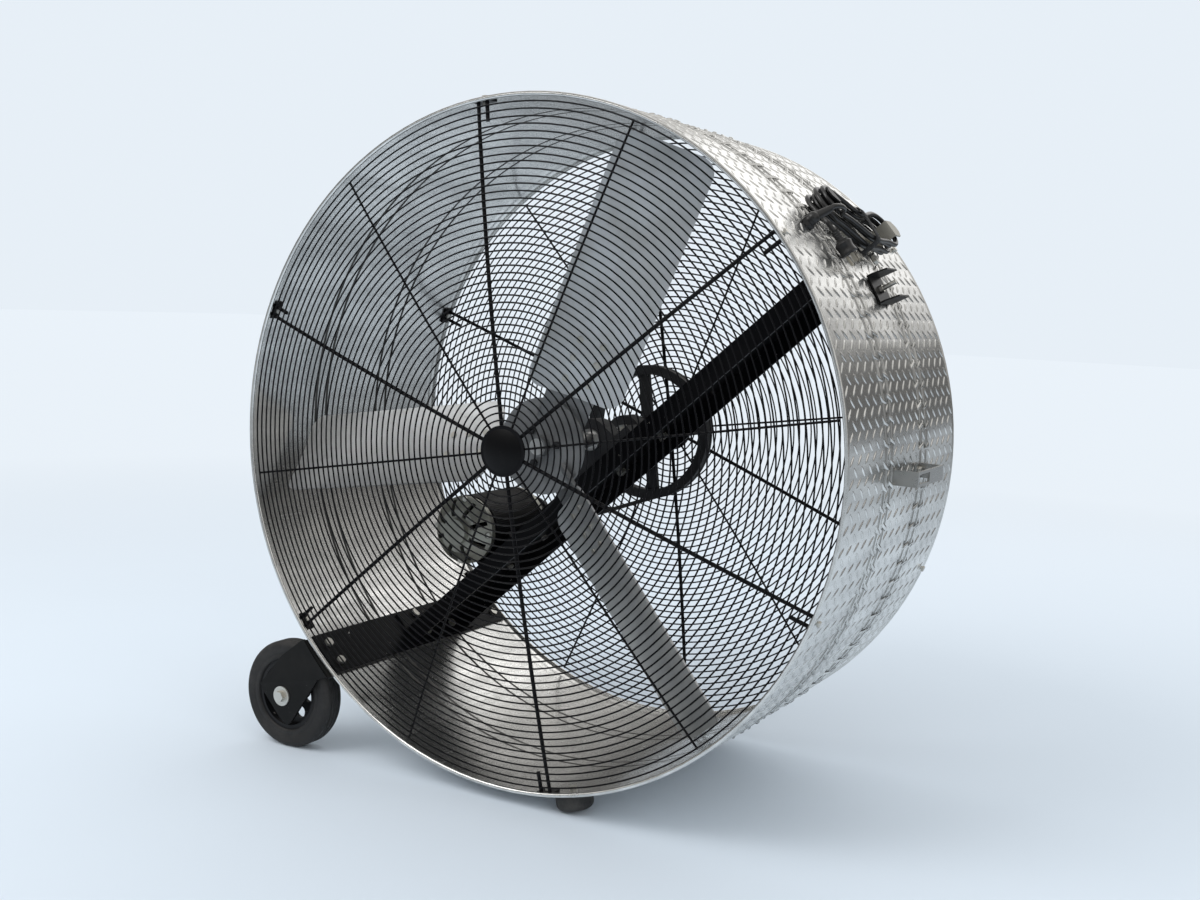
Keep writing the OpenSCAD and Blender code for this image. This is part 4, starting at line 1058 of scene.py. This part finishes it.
@dataclass
class MainsCord:
    """The cord: a lead from the gland, a hank round two brackets, a tail and a plug.

    The hank has a wall frame of its own: clockwise round the drum, rearward and outward.

    Attributes:
        diameter: thickness of the cord.
        front_angle, front_depth: place of the front hank bracket on the wall.
        rear_angle, rear_depth: place of the rear hank bracket.
        gland_angle, gland_depth: place of the gland on the wall.
        gland_height, gland_reach, gland_lean: height of its seat, its length and its lean.
        sag: how far both runs hang down at their middle.
        waist: how far the strap draws them together there.
        fold_r, step: smallest radius of a fold, and what a turn adds to it.
        pitch, base: height from layer to layer, and the lowest layer's radius.
        seat_r: radius of the wall's outer face under the gland.
        layer_turns, climbs, climb: turns in a layer, climbs to a next one and half a climb in turns.
        tuck: how far a fold's middle stays inside its bracket.
        first_turn, last_turn: ends of the winding, in turns.
        fold_share, run_share: share of a turn in a fold and in a run.
        rings_a_loop, sides, curve_steps: points of a turn, of the cord's ring and of a free stretch.
        strap_w, strap_t, strap_steps, strap_power: width, thickness, points and squareness of the strap.
        plug_length, neck_length, neck_r, grip_r: lengths and radii of the plug.
        rib_height, rib_pitch: ribs of the plug's neck.
        grip_flat, grip_waist: flatness of the grip, and how far it swells both ways.
        nose, nose_taper: length of the rounded nose, and how much it narrows.
        plug_grid, plug_power: sections and points of the plug, and squareness of a section.
        lead, tail: stops of the cord between gland and hank, and between hank and plug.
        plug_way: direction of the plug.
    """

    diameter: float = 9.0
    front_angle: float = 44.5
    rear_angle: float = 39.5
    front_depth: float = 256.0
    rear_depth: float = 450.0
    gland_angle: float = 41.5
    gland_depth: float = 160.0
    gland_height: float = 14.0
    gland_reach: float = 37.6
    gland_lean: float = 45.0
    sag: float = 24.0
    waist: float = 6.0
    fold_r: float = 28.0
    step: float = 10.6
    pitch: float = 9.7
    base: float = 625.0
    seat_r: float = 616.3
    layer_turns: int = 1
    climbs: int = 3
    climb: float = 0.25
    tuck: float = 11.0
    first_turn: float = 0.145
    last_turn: float = 4.0
    fold_share: float = 0.29
    run_share: float = 0.21
    rings_a_loop: int = 56
    sides: int = 12
    curve_steps: int = 9
    strap_w: float = 14.0
    strap_t: float = 1.8
    strap_steps: int = 96
    strap_power: float = 7.0
    plug_length: float = 46.0
    neck_length: float = 15.0
    neck_r: float = 6.6
    grip_r: float = 14.2
    rib_height: float = 0.5
    rib_pitch: float = 4.2
    grip_flat: float = 0.9
    grip_waist: tuple = (0.8, 0.9)
    nose: float = 1.5
    nose_taper: float = 0.3
    plug_grid: tuple = (70, 36)
    plug_power: float = 2.7
    lead: tuple = ((9.0, -142.0, 668.0), (11.0, -126.0, 664.0))
    tail: tuple = ((-10.0, -132.0, 628.0), (11.0, -148.0, 634.0), (34.0, -147.0, 634.0))
    plug_way: tuple = (38.0, 4.0, -3.0)

    @property
    def angle(self) -> float:
        """Angle of the hank's frame round the fan's axis."""
        return (self.front_angle + self.rear_angle) / 2

    @property
    def depth(self) -> float:
        """Depth of the hank's frame."""
        return (self.front_depth + self.rear_depth) / 2

    def along_wall(self, angle: float) -> float:
        """Way down the wall from the hank's frame to an angle."""
        return math.radians(self.angle - angle) * LAYOUT.lug_r

    @property
    def lean(self) -> float:
        """Lean of the hank against the drum's length, in radians."""
        return math.atan2(-self.along_wall(self.front_angle), (self.rear_depth - self.front_depth) / 2)

    @property
    def run(self) -> float:
        """Way between the middles of the two folds."""
        reach = math.hypot(self.along_wall(self.front_angle), (self.rear_depth - self.front_depth) / 2)
        return 2 * (reach - self.tuck)

    def fold(self, t: np.ndarray) -> np.ndarray:
        """Fold radius after t turns: it spirals in and out again, a step a turn."""
        n = self.layer_turns
        return self.fold_r + self.step * np.abs((t + 2 * n) % (2 * n) - n)

    def height(self, t: np.ndarray) -> np.ndarray:
        """Height of the winding, with a smooth climb from each layer to the next.

        A climb is three times the square less twice the cube of the way through it.

        Args:
            t: turns along the winding.

        Returns:
            The radius from the fan's axis at each turn.
        """
        rise = np.zeros_like(t)
        for k in range(1, self.climbs + 1):
            s = np.clip((t - k * self.layer_turns + self.climb) / (2 * self.climb), 0, 1)
            rise += s * s * (3 - 2 * s)
        return self.base + self.pitch * rise

    def hank(self, t: np.ndarray) -> np.ndarray:
        """The winding: two half circles and two runs that sag and draw in by a squared cosine.

        A turn goes round the front fold, back along the first run, round the rear fold and
        forward along the second run. Its height falls off as the wall's own arc does.

        Args:
            t: turns along the winding.

        Returns:
            Points in the hank's frame, in millimetres.
        """
        r, u, half = self.fold(t), t - np.floor(t), self.run / 2
        f, g = self.fold_share, self.run_share
        parts = [u < f, u < 0.5, u < 0.5 + f]
        front, rear = np.pi * u / f, np.pi * (u - 0.5) / f
        first = self.run * ((u - f) / g - 0.5)
        second = self.run * (0.5 - (u - 0.5 - f) / g)
        first_in, second_in = (np.cos(np.pi * x / self.run) ** 2 for x in (first, second))
        along = np.select(parts, [-half - r * np.sin(front), first, half + r * np.sin(rear)], second)
        down = np.select(
            parts,
            [r * np.cos(front), (self.waist + self.sag) * first_in - r, -r * np.cos(rear)],
            r + (self.sag - self.waist) * second_in,
        )
        c, s = math.cos(self.lean), math.sin(self.lean)
        x, y = along * s + down * c, along * c - down * s
        return np.stack([x, y, self.height(t) - x * x / (2 * LAYOUT.lug_r)], axis=-1)

    def curve(self, stops: list) -> np.ndarray:
        """A smooth curve through stops.

        Each stretch is a cubic whose slope at a stop is half the way between its neighbours.

        Args:
            stops: the points that it goes through.

        Returns:
            The curve's points, the last stop included.
        """
        p = np.array(stops, dtype=float)
        p = np.concatenate([[2 * p[0] - p[1]], p, [2 * p[-1] - p[-2]]])
        t = (np.arange(self.curve_steps) / self.curve_steps)[None, :, None]
        a, b, c, d = (p[k:len(p) - 3 + k, None] for k in range(4))
        square, cube = 2 * a - 5 * b + 4 * c - d, 3 * b - a - 3 * c + d
        made = 0.5 * (2 * b + (c - a) * t + square * t ** 2 + cube * t ** 3)
        return np.concatenate([made.reshape(-1, 3), p[-2:-1]])

    def route(self) -> np.ndarray:
        """The whole cord: straight out of the gland, into the hank, round it and on to the plug.

        Returns:
            Points of its centre line in the hank's frame.
        """
        count = int((self.last_turn - self.first_turn) * self.rings_a_loop)
        body = self.hank(np.linspace(self.last_turn, self.first_turn, count + 1))
        inward = np.array([math.sin(self.lean), math.cos(self.lean), 0.0])
        start = body[0] - self.diameter * inward
        lean = math.radians(self.gland_lean)
        way = np.array([0.0, math.sin(lean), math.cos(lean)])
        seat = np.array([
            self.along_wall(self.gland_angle), self.gland_depth - self.depth, self.seat_r + self.gland_height,
        ])
        leave = seat + self.gland_reach * way
        near = start - self.diameter * 2 / 3 * inward
        lead = self.curve([leave, leave + self.diameter * way, *self.lead, near, start])
        tail = self.curve([body[-1], *self.tail])
        return np.concatenate([lead, body, tail[1:]])

    def place(self, points: np.ndarray) -> np.ndarray:
        """Points of the hank's frame in the row frame."""
        return LAYOUT.radial(self.angle, self.depth, points)

    def plug(self) -> Surface:
        """The plug: rounded sections along its length.

        The neck is ribbed by a cosine, swells to the grip by a smooth step, and the grip
        is waisted by a second cosine. A section is a superellipse. The nose narrows by a
        square root.

        Returns:
            The closed skin.
        """
        rows, cols = self.plug_grid
        z = np.linspace(0, self.plug_length, rows)
        swell = np.clip((z - self.neck_length) / (self.plug_length / 4), 0, 1)
        swell = swell * swell * (3 - 2 * swell)
        rib = self.rib_height * np.cos(2 * np.pi * z / self.rib_pitch)
        waist = np.cos(4 * np.pi * (z - self.plug_length) / self.plug_length)
        tip = np.clip((z - self.plug_length) / self.nose + 1, 0, 1)
        nose = np.sqrt(1 - self.nose_taper * tip ** 2)
        neck = (self.neck_r + rib) * (1 - swell)
        wide, high = (
            (neck + (self.grip_r * flat + bulge * waist) * swell) * nose
            for flat, bulge in zip((1.0, self.grip_flat), self.grip_waist)
        )
        c, s = superellipse(cols, self.plug_power).T
        way = np.array(self.plug_way) / np.linalg.norm(self.plug_way)
        inward = np.array([0.0, 0.0, -1.0])
        ex = inward - (inward @ way) * way
        ex /= np.linalg.norm(ex)
        ey = np.cross(way, ex)
        middle = np.array(self.tail[-1]) + z[:, None] * way
        x, y = (wide[:, None] * c)[..., None], (high[:, None] * s)[..., None]
        return lofted(self.place(middle[:, None] + x * ex + y * ey))

    def strap(self) -> Surface:
        """The tie: a flat strap on a rounded oblong loop round the hank's waist.

        Its loop is a superellipse in a wall frame of its own, under the hank's middle.

        Returns:
            The closed band.
        """
        slack = self.diameter / 2 + self.strap_t
        half_w = self.fold_r + self.layer_turns * self.step - self.waist + slack
        low = self.base - slack - half_w ** 2 / (2 * LAYOUT.lug_r)
        high = self.base + self.climbs * self.pitch + slack
        loop = superellipse(self.strap_steps, self.strap_power)
        band = np.array([(-1, -1), (1, -1), (1, 1), (-1, 1)]) * np.array([self.strap_t, self.strap_w]) / 2
        x = loop[:, :1] * (half_w + band[:, 0])
        z = (low + high) / 2 + loop[:, 1:] * ((high - low) / 2 + band[:, 0])
        y = np.broadcast_to(band[:, 1], x.shape)
        c, s = math.cos(self.lean), math.sin(self.lean)
        turned = np.stack([x * c + y * s, y * c - x * s, z], axis=-1)
        angle = self.angle - math.degrees(self.sag * c / LAYOUT.lug_r)
        return ringed(LAYOUT.radial(angle, self.depth - self.sag * s, turned))

    def build(self) -> None:
        path = self.place(self.route())
        a = math.radians(self.angle)
        outward = np.array([math.cos(a), 0.0, math.sin(a)])
        tube = swept(path, self.diameter / 2, self.sides, outward)
        cord = tube.piece("mains_cord", Palette.CORD, Body.DRUM, "cord_jacket")
        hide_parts("cord_lead", "cord_hank")
        plug = self.plug().piece("plug_shell", Palette.PLUG, Body.DRUM, "plug_plastic")
        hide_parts("plug_body")
        strap = self.strap().piece("cord_strap", Palette.STRAP, Body.DRUM, "plug_plastic")
        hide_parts("cord_tie")
        tuple(path[0] * MM)
        (path * MM).tolist()


@dataclass
class Wheel:
    """A wheel: a ribbed tyre is made here, its hub is the frame's.

    Attributes:
        end: the end of the drum that it stands at.
        body: its own body.
        side: radius and depth of the tyre's side from the hub out, with a raised rib.
        round_r: radius of the tyre's shoulder.
        round_from: angle at which the shoulder leaves the side, in degrees.
        round_steps: points of the shoulder.
        groove: width and depth of a groove.
        groove_edge: width and depth of a groove's broken edge.
        groove_draft: how much a groove's wall leans in at its bottom.
        gap: way from groove to groove.
        steps: points round the tyre.
    """

    end: End
    body: Body
    side: tuple = ((70.3, 1.2), (74.0, 0.4), (78.0, 0.2), (80.0, 1.0), (82.0, 1.0), (84.0, 0.1), (94.0, 0.4))
    round_r: float = 12.0
    round_from: float = -80.0
    round_steps: int = 7
    groove: float = 3.0
    groove_edge: tuple = (0.4, 0.5)
    groove_draft: float = 0.5
    gap: float = 9.0
    steps: int = 144

    def profile(self) -> np.ndarray:
        """Tyre section of radius and depth: side with a rib, round shoulder, three grooves.

        The back half is the front half mirrored.

        Returns:
            The closed outline's points.
        """
        r, w, half = LAYOUT.wheel_r, LAYOUT.tyre_w, self.groove / 2
        turn = np.linspace(np.radians(self.round_from), 0, self.round_steps)
        shoulder = np.array([(r, 0)]) + self.round_r * np.stack([np.cos(turn) - 1, np.sin(turn) + 1], axis=-1)
        wide, deep = self.groove_edge
        wall = np.array([(r, -half - wide), (r - deep, -half), (r - self.groove, self.groove_draft - half)])
        mirror = np.array([1, -1])
        groove = np.concatenate([wall, wall[::-1] * mirror])
        tread = [groove + np.array([0, w / 2 + k * self.gap]) for k in (-1, 0, 1)]
        front = np.concatenate([self.side, shoulder])
        return np.concatenate([front, *tread, front[::-1] * mirror + np.array([0, w])])

    def build(self) -> None:
        """Makes the tyre and dresses the hub."""
        rings = revolved(self.profile(), self.steps)
        if self.end is End.REAR:
            rings[..., 1] = LAYOUT.length - rings[..., 1]
        rings += LAYOUT.around(LAYOUT.wheel_reach, math.radians(LAYOUT.wheel_angle), 0.0)
        tyre = ringed(rings).piece(f"{self.end.value}_tyre_skin", Palette.TYRE, self.body, "tyre_rubber")
        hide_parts(f"tyre_{self.end.value}")
        dress(f"wheel_hub_{self.end.value}", Palette.HUB)


@dataclass
class Motor:
    """The motor and its belt drive: the shell gets a rolled band at each end.

    Attributes:
        radius: radius of the shell.
        start: depth of its front edge.
        length: its length.
        lip: depth of its turned-in edge.
        band_rise: height of a band.
        band_edge: length of a band's slope at the shell's edge.
        band_w: depth at which a band ends.
        band_slope: length of its slope there.
        steps: points round the shell.
    """

    radius: float = 69.0
    start: float = 282.0
    length: float = 176.0
    lip: float = 3.0
    band_rise: float = 0.9
    band_edge: float = 0.8
    band_w: float = 9.0
    band_slope: float = 1.0
    steps: int = 96

    def middle(self) -> np.ndarray:
        """Where the motor's axis meets the plane of the front rim.

        Returns:
            The point in millimetres of the row frame.
        """
        a = math.radians(LAYOUT.bar_angle)
        s, n = LAYOUT.motor_s, LAYOUT.motor_n
        right, up = s * math.cos(a) - n * math.sin(a), s * math.sin(a) + n * math.cos(a)
        return np.array([LAYOUT.axis_x + right, LAYOUT.front_y, LAYOUT.axis_z + up])

    def shell(self) -> Surface:
        """Rolled shell with a raised band at each end, a profile turned about the motor's axis.

        Returns:
            The skin, which has an inner side at the lips' depth.
        """
        r, top = self.radius, self.radius + self.band_rise
        end = self.band_w + self.band_slope
        half = np.array([(r - self.lip, 0), (r, 0), (top, self.band_edge), (top, self.band_w), (r, end)])
        back = half[::-1] * np.array([1, -1]) + np.array([0, self.length])
        profile = np.concatenate([half, back]) + np.array([0, self.start])
        return ringed(revolved(profile, self.steps) + self.middle())

    def build(self) -> None:
        """Makes the shell and dresses the nodes of motor and belt drive."""
        self.shell().piece("motor_shell", Palette.MOTOR, Body.DRUM, "motor_paint")
        for finish, nodes in (
            (Palette.MOTOR, ("motor_body", "motor_base")),
            (Palette.BELL, ("motor_bell_front", "motor_bell_rear")),
            (Palette.SHAFT, ("motor_shaft",)),
            (Palette.CASTING, ("motor_pulley", "large_sheave")),
            (Palette.BELT, ("drive_belt",)),
        ):
            for node in nodes:
                dress(node, finish)


@dataclass
class Propeller:
    """The propeller: its nodes get their finishes, each blade drawn along itself.

    Attributes:
        blades: number of blades.
        first_blade: turn of the first blade, in degrees.
    """

    blades: int = 3
    first_blade: float = 68.3

    def build(self) -> None:
        """Dresses blades, spider, hub, shaft and bearings."""
        for k in range(self.blades):
            dress(f"blade_{k + 1}", Palette.blade(self.first_blade + 360 / self.blades * k))
        for node in ("prop_spider", "prop_hub"):
            dress(node, Palette.SPIDER)
        dress("fan_shaft", Palette.SHAFT)
        for end in End:
            dress(f"bearing_housing_{end.value}", Palette.CASTING)
            dress(f"bearing_ring_{end.value}", Palette.SHAFT)


@dataclass
class Fittings:
    """The plain fittings: frame, brackets, feet, handle and fasteners, as the frame has them."""

    def build(self) -> None:
        """Dresses the nodes."""
        for finish, nodes in (
            (Palette.BADGE, ("guard_badge",)),
            (Palette.BLACK, ("crossbar", "crossbar_foot_upper", "crossbar_foot_lower", "wheel_strap")),
            (Palette.BRACKET, (
                "wheel_bracket_front", "wheel_bracket_rear", "hank_bracket_front", "cord_wrap_lower",
            )),
            (Palette.PLATED, ("hank_bracket_rear",)),
            (Palette.ZINC, (
                "guard_bolts", "crossbar_bolts", "strap_bolts", "axle_bolt_front", "axle_bolt_rear",
                "axle_nuts", "foot_bolts", "blade_rivets", "bearing_bolts", "motor_bolts", "outer_bolts",
            )),
            (Palette.FOOT, ("rubber_foot_front", "rubber_foot_rear")),
            (Palette.HANDLE, ("pull_handle",)),
            (Palette.PLUG, ("cord_gland",)),
            (Palette.CASTING, ("hub_bolts",)),
            (Palette.CONTACT, ("plug_blades",)),
        ):
            for node in nodes:
                dress(node, finish)


# Studio


@dataclass(frozen=True)
class Lamp:
    """A square area lamp that looks at the fan's middle.

    Attributes:
        name: name of the lamp.
        place: where it stands, in metres.
        size: its side, in metres.
        power: its power in watts.
        aim: what it looks at, in metres.
    """

    name: str
    place: tuple
    size: float
    power: float
    aim: tuple = (0.0, 0.0, 0.6)

    def build(self) -> None:
        """Hangs the lamp."""
        data = bpy.data.lights.new(self.name, "AREA")
        data.size, data.energy, data.shape = self.size, self.power, "SQUARE"
        made = bpy.data.objects.new(self.name, data)
        made.location = self.place
        way = Vector(self.aim) - Vector(self.place)
        made.rotation_euler = way.to_track_quat("-Z", "Y").to_euler()
        bpy.context.scene.collection.objects.link(made)


@dataclass
class Studio:
    """Camera at the photograph's place, pale floor, soft lamps.

    Attributes:
        place, forward, up: place and directions of the camera, in metres.
        lens, sensor, reach: its focal length and sensor width in millimetres, and how far it sees in metres.
        backdrop, floor: colours of the backdrop and of the floor near the fan.
        floor_half: half the floor's side, in metres.
        fade: where the floor starts to turn into the backdrop and where it has, in metres.
        mottle: brightness of the floor's soft patches.
        mirrored_glow: share of the backdrop's glow on the floor that mirror rays see.
        room, room_level, dome_level: colour of what mirror rays see, and its level low and high up.
        dome_edge: rise of a mirror ray at which the dome starts and at which it is full.
        sky, sky_level: colour and level of the light on the fan.
        lamps: the lamps.
    """

    place: tuple = (1.26752, -2.27685, 0.90511)
    forward: tuple = (-0.48634, 0.86692, -0.10918)
    up: tuple = (-0.09212, 0.07338, 0.99304)
    lens: float = 40.65
    sensor: float = 36.0
    reach: float = 100.0
    backdrop: tuple = (0.80, 0.865, 0.93)
    floor: tuple = (0.70, 0.765, 0.835)
    floor_half: float = 30.0
    fade: tuple = (1.3, 5.0)
    mottle: float = 1.02
    mirrored_glow: float = 0.5
    room: tuple = (1.0, 0.98, 0.95)
    room_level: float = 0.12
    dome_level: float = 0.75
    dome_edge: tuple = (0.12, 0.5)
    sky: tuple = (0.95, 0.98, 1.0)
    sky_level: float = 0.9
    lamps: tuple = (
        Lamp("key", (-1.8, -3.0, 3.8), 2.6, 75.0),
        Lamp("fill", (3.4, -2.2, 1.8), 2.4, 12.0),
        Lamp("back", (0.2, 3.6, 2.8), 2.8, 22.0),
    )

    def camera(self) -> None:
        """Makes the camera from its place and two directions."""
        data = bpy.data.cameras.new("photo_camera")
        data.lens, data.sensor_width = self.lens, self.sensor
        data.clip_end = self.reach
        made = bpy.data.objects.new("photo_camera", data)
        look = Vector(self.forward).normalized()
        right = look.cross(Vector(self.up)).normalized()
        up = right.cross(look)
        turn = Matrix((right, up, -look)).transposed().to_4x4()
        made.matrix_world = Matrix.Translation(Vector(self.place)) @ turn
        bpy.context.scene.collection.objects.link(made)
        bpy.context.scene.camera = made

    def floor_sheet(self) -> None:
        """A wide pale floor that turns into the backdrop's own colour far from the fan."""
        half = self.floor_half
        corners = [(-half, -half, 0), (half, -half, 0), (half, half, 0), (-half, half, 0)]
        mesh = bpy.data.meshes.new("studio_floor")
        mesh.from_pydata(corners, [], [(0, 1, 2, 3)])
        made = bpy.data.objects.new("studio_floor", mesh)
        bpy.context.scene.collection.objects.link(made)
        sh = Shader("studio_floor")
        here = sh.place()
        away = sh.node("ShaderNodeVectorMath", {"operation": "LENGTH"}, {0: here}, "Value")
        start, end = self.fade
        far = away.over(start, end - start)
        looked_at = sh.node("ShaderNodeLightPath", {}, {}, "Is Camera Ray")
        glow = far * (looked_at * (1 - self.mirrored_glow) + self.mirrored_glow)
        mottled = tuple(c * self.mottle for c in self.floor)
        near = sh.blend(sh.noise(here, scale=1.5, detail=2.0), self.floor, mottled)
        black = (0.0, 0.0, 0.0)
        mesh.materials.append(sh.finish(
            Base_Color=sh.blend(far, near, black),
            Emission_Color=sh.blend(glow, black, self.backdrop),
            Emission_Strength=1.0,
            Roughness=0.8,
            Specular_IOR_Level=0.1,
        ))

    def world(self) -> None:
        """Pale surroundings, split by the kind of ray.

        The camera sees the backdrop. Mirror rays see a dark room that turns into a
        brighter dome as they rise. All other rays see a pale sky.
        """
        world = bpy.data.worlds.new("studio")
        world.use_nodes = True
        bpy.context.scene.world = world
        nodes = Nodes(world.node_tree)
        way = nodes.node("ShaderNodeTexCoord", {}, {}, "Generated")
        rise = nodes.node("ShaderNodeSeparateXYZ", {}, {0: way}, "Z")
        low, high = self.dome_edge
        dark, bright = (nodes.glow(self.room, level) for level in (self.room_level, self.dome_level))
        room = nodes.either(rise.over(low, high - low), dark, bright)
        backdrop = nodes.glow(self.backdrop, 1.0)
        lit = nodes.glow(self.sky, self.sky_level)
        for ray, seen in (("Is Glossy Ray", room), ("Is Camera Ray", backdrop)):
            lit = nodes.either(nodes.node("ShaderNodeLightPath", {}, {}, ray), lit, seen)
        out = nodes.tree.nodes.new("ShaderNodeOutputWorld")
        nodes.plug(out.inputs[0], lit)

    def build(self) -> None:
        """Sets up camera, floor, lamps and world."""
        bpy.context.scene.view_settings.view_transform = "Standard"
        self.camera()
        self.floor_sheet()
        for lamp in self.lamps:
            lamp.build()
        self.world()


def main() -> None:
    """Builds the studio and every sub-assembly in order."""
    logging.basicConfig(level=logging.INFO, format="%(name)s %(message)s")
    assemblies = [
        Studio(),
        MainsCord(),
        TreadDrum(),
        Guard(End.FRONT, 39.6),
        Guard(End.REAR, 38.3),
        Wheel(End.FRONT, Body.FRONT_WHEEL),
        Wheel(End.REAR, Body.REAR_WHEEL),
        Motor(),
        Propeller(),
        Fittings(),
    ]
    for assembly in assemblies:
        assembly.build()
        log.info("%s done", type(assembly).__name__)


if __name__ == "__main__":
    main()
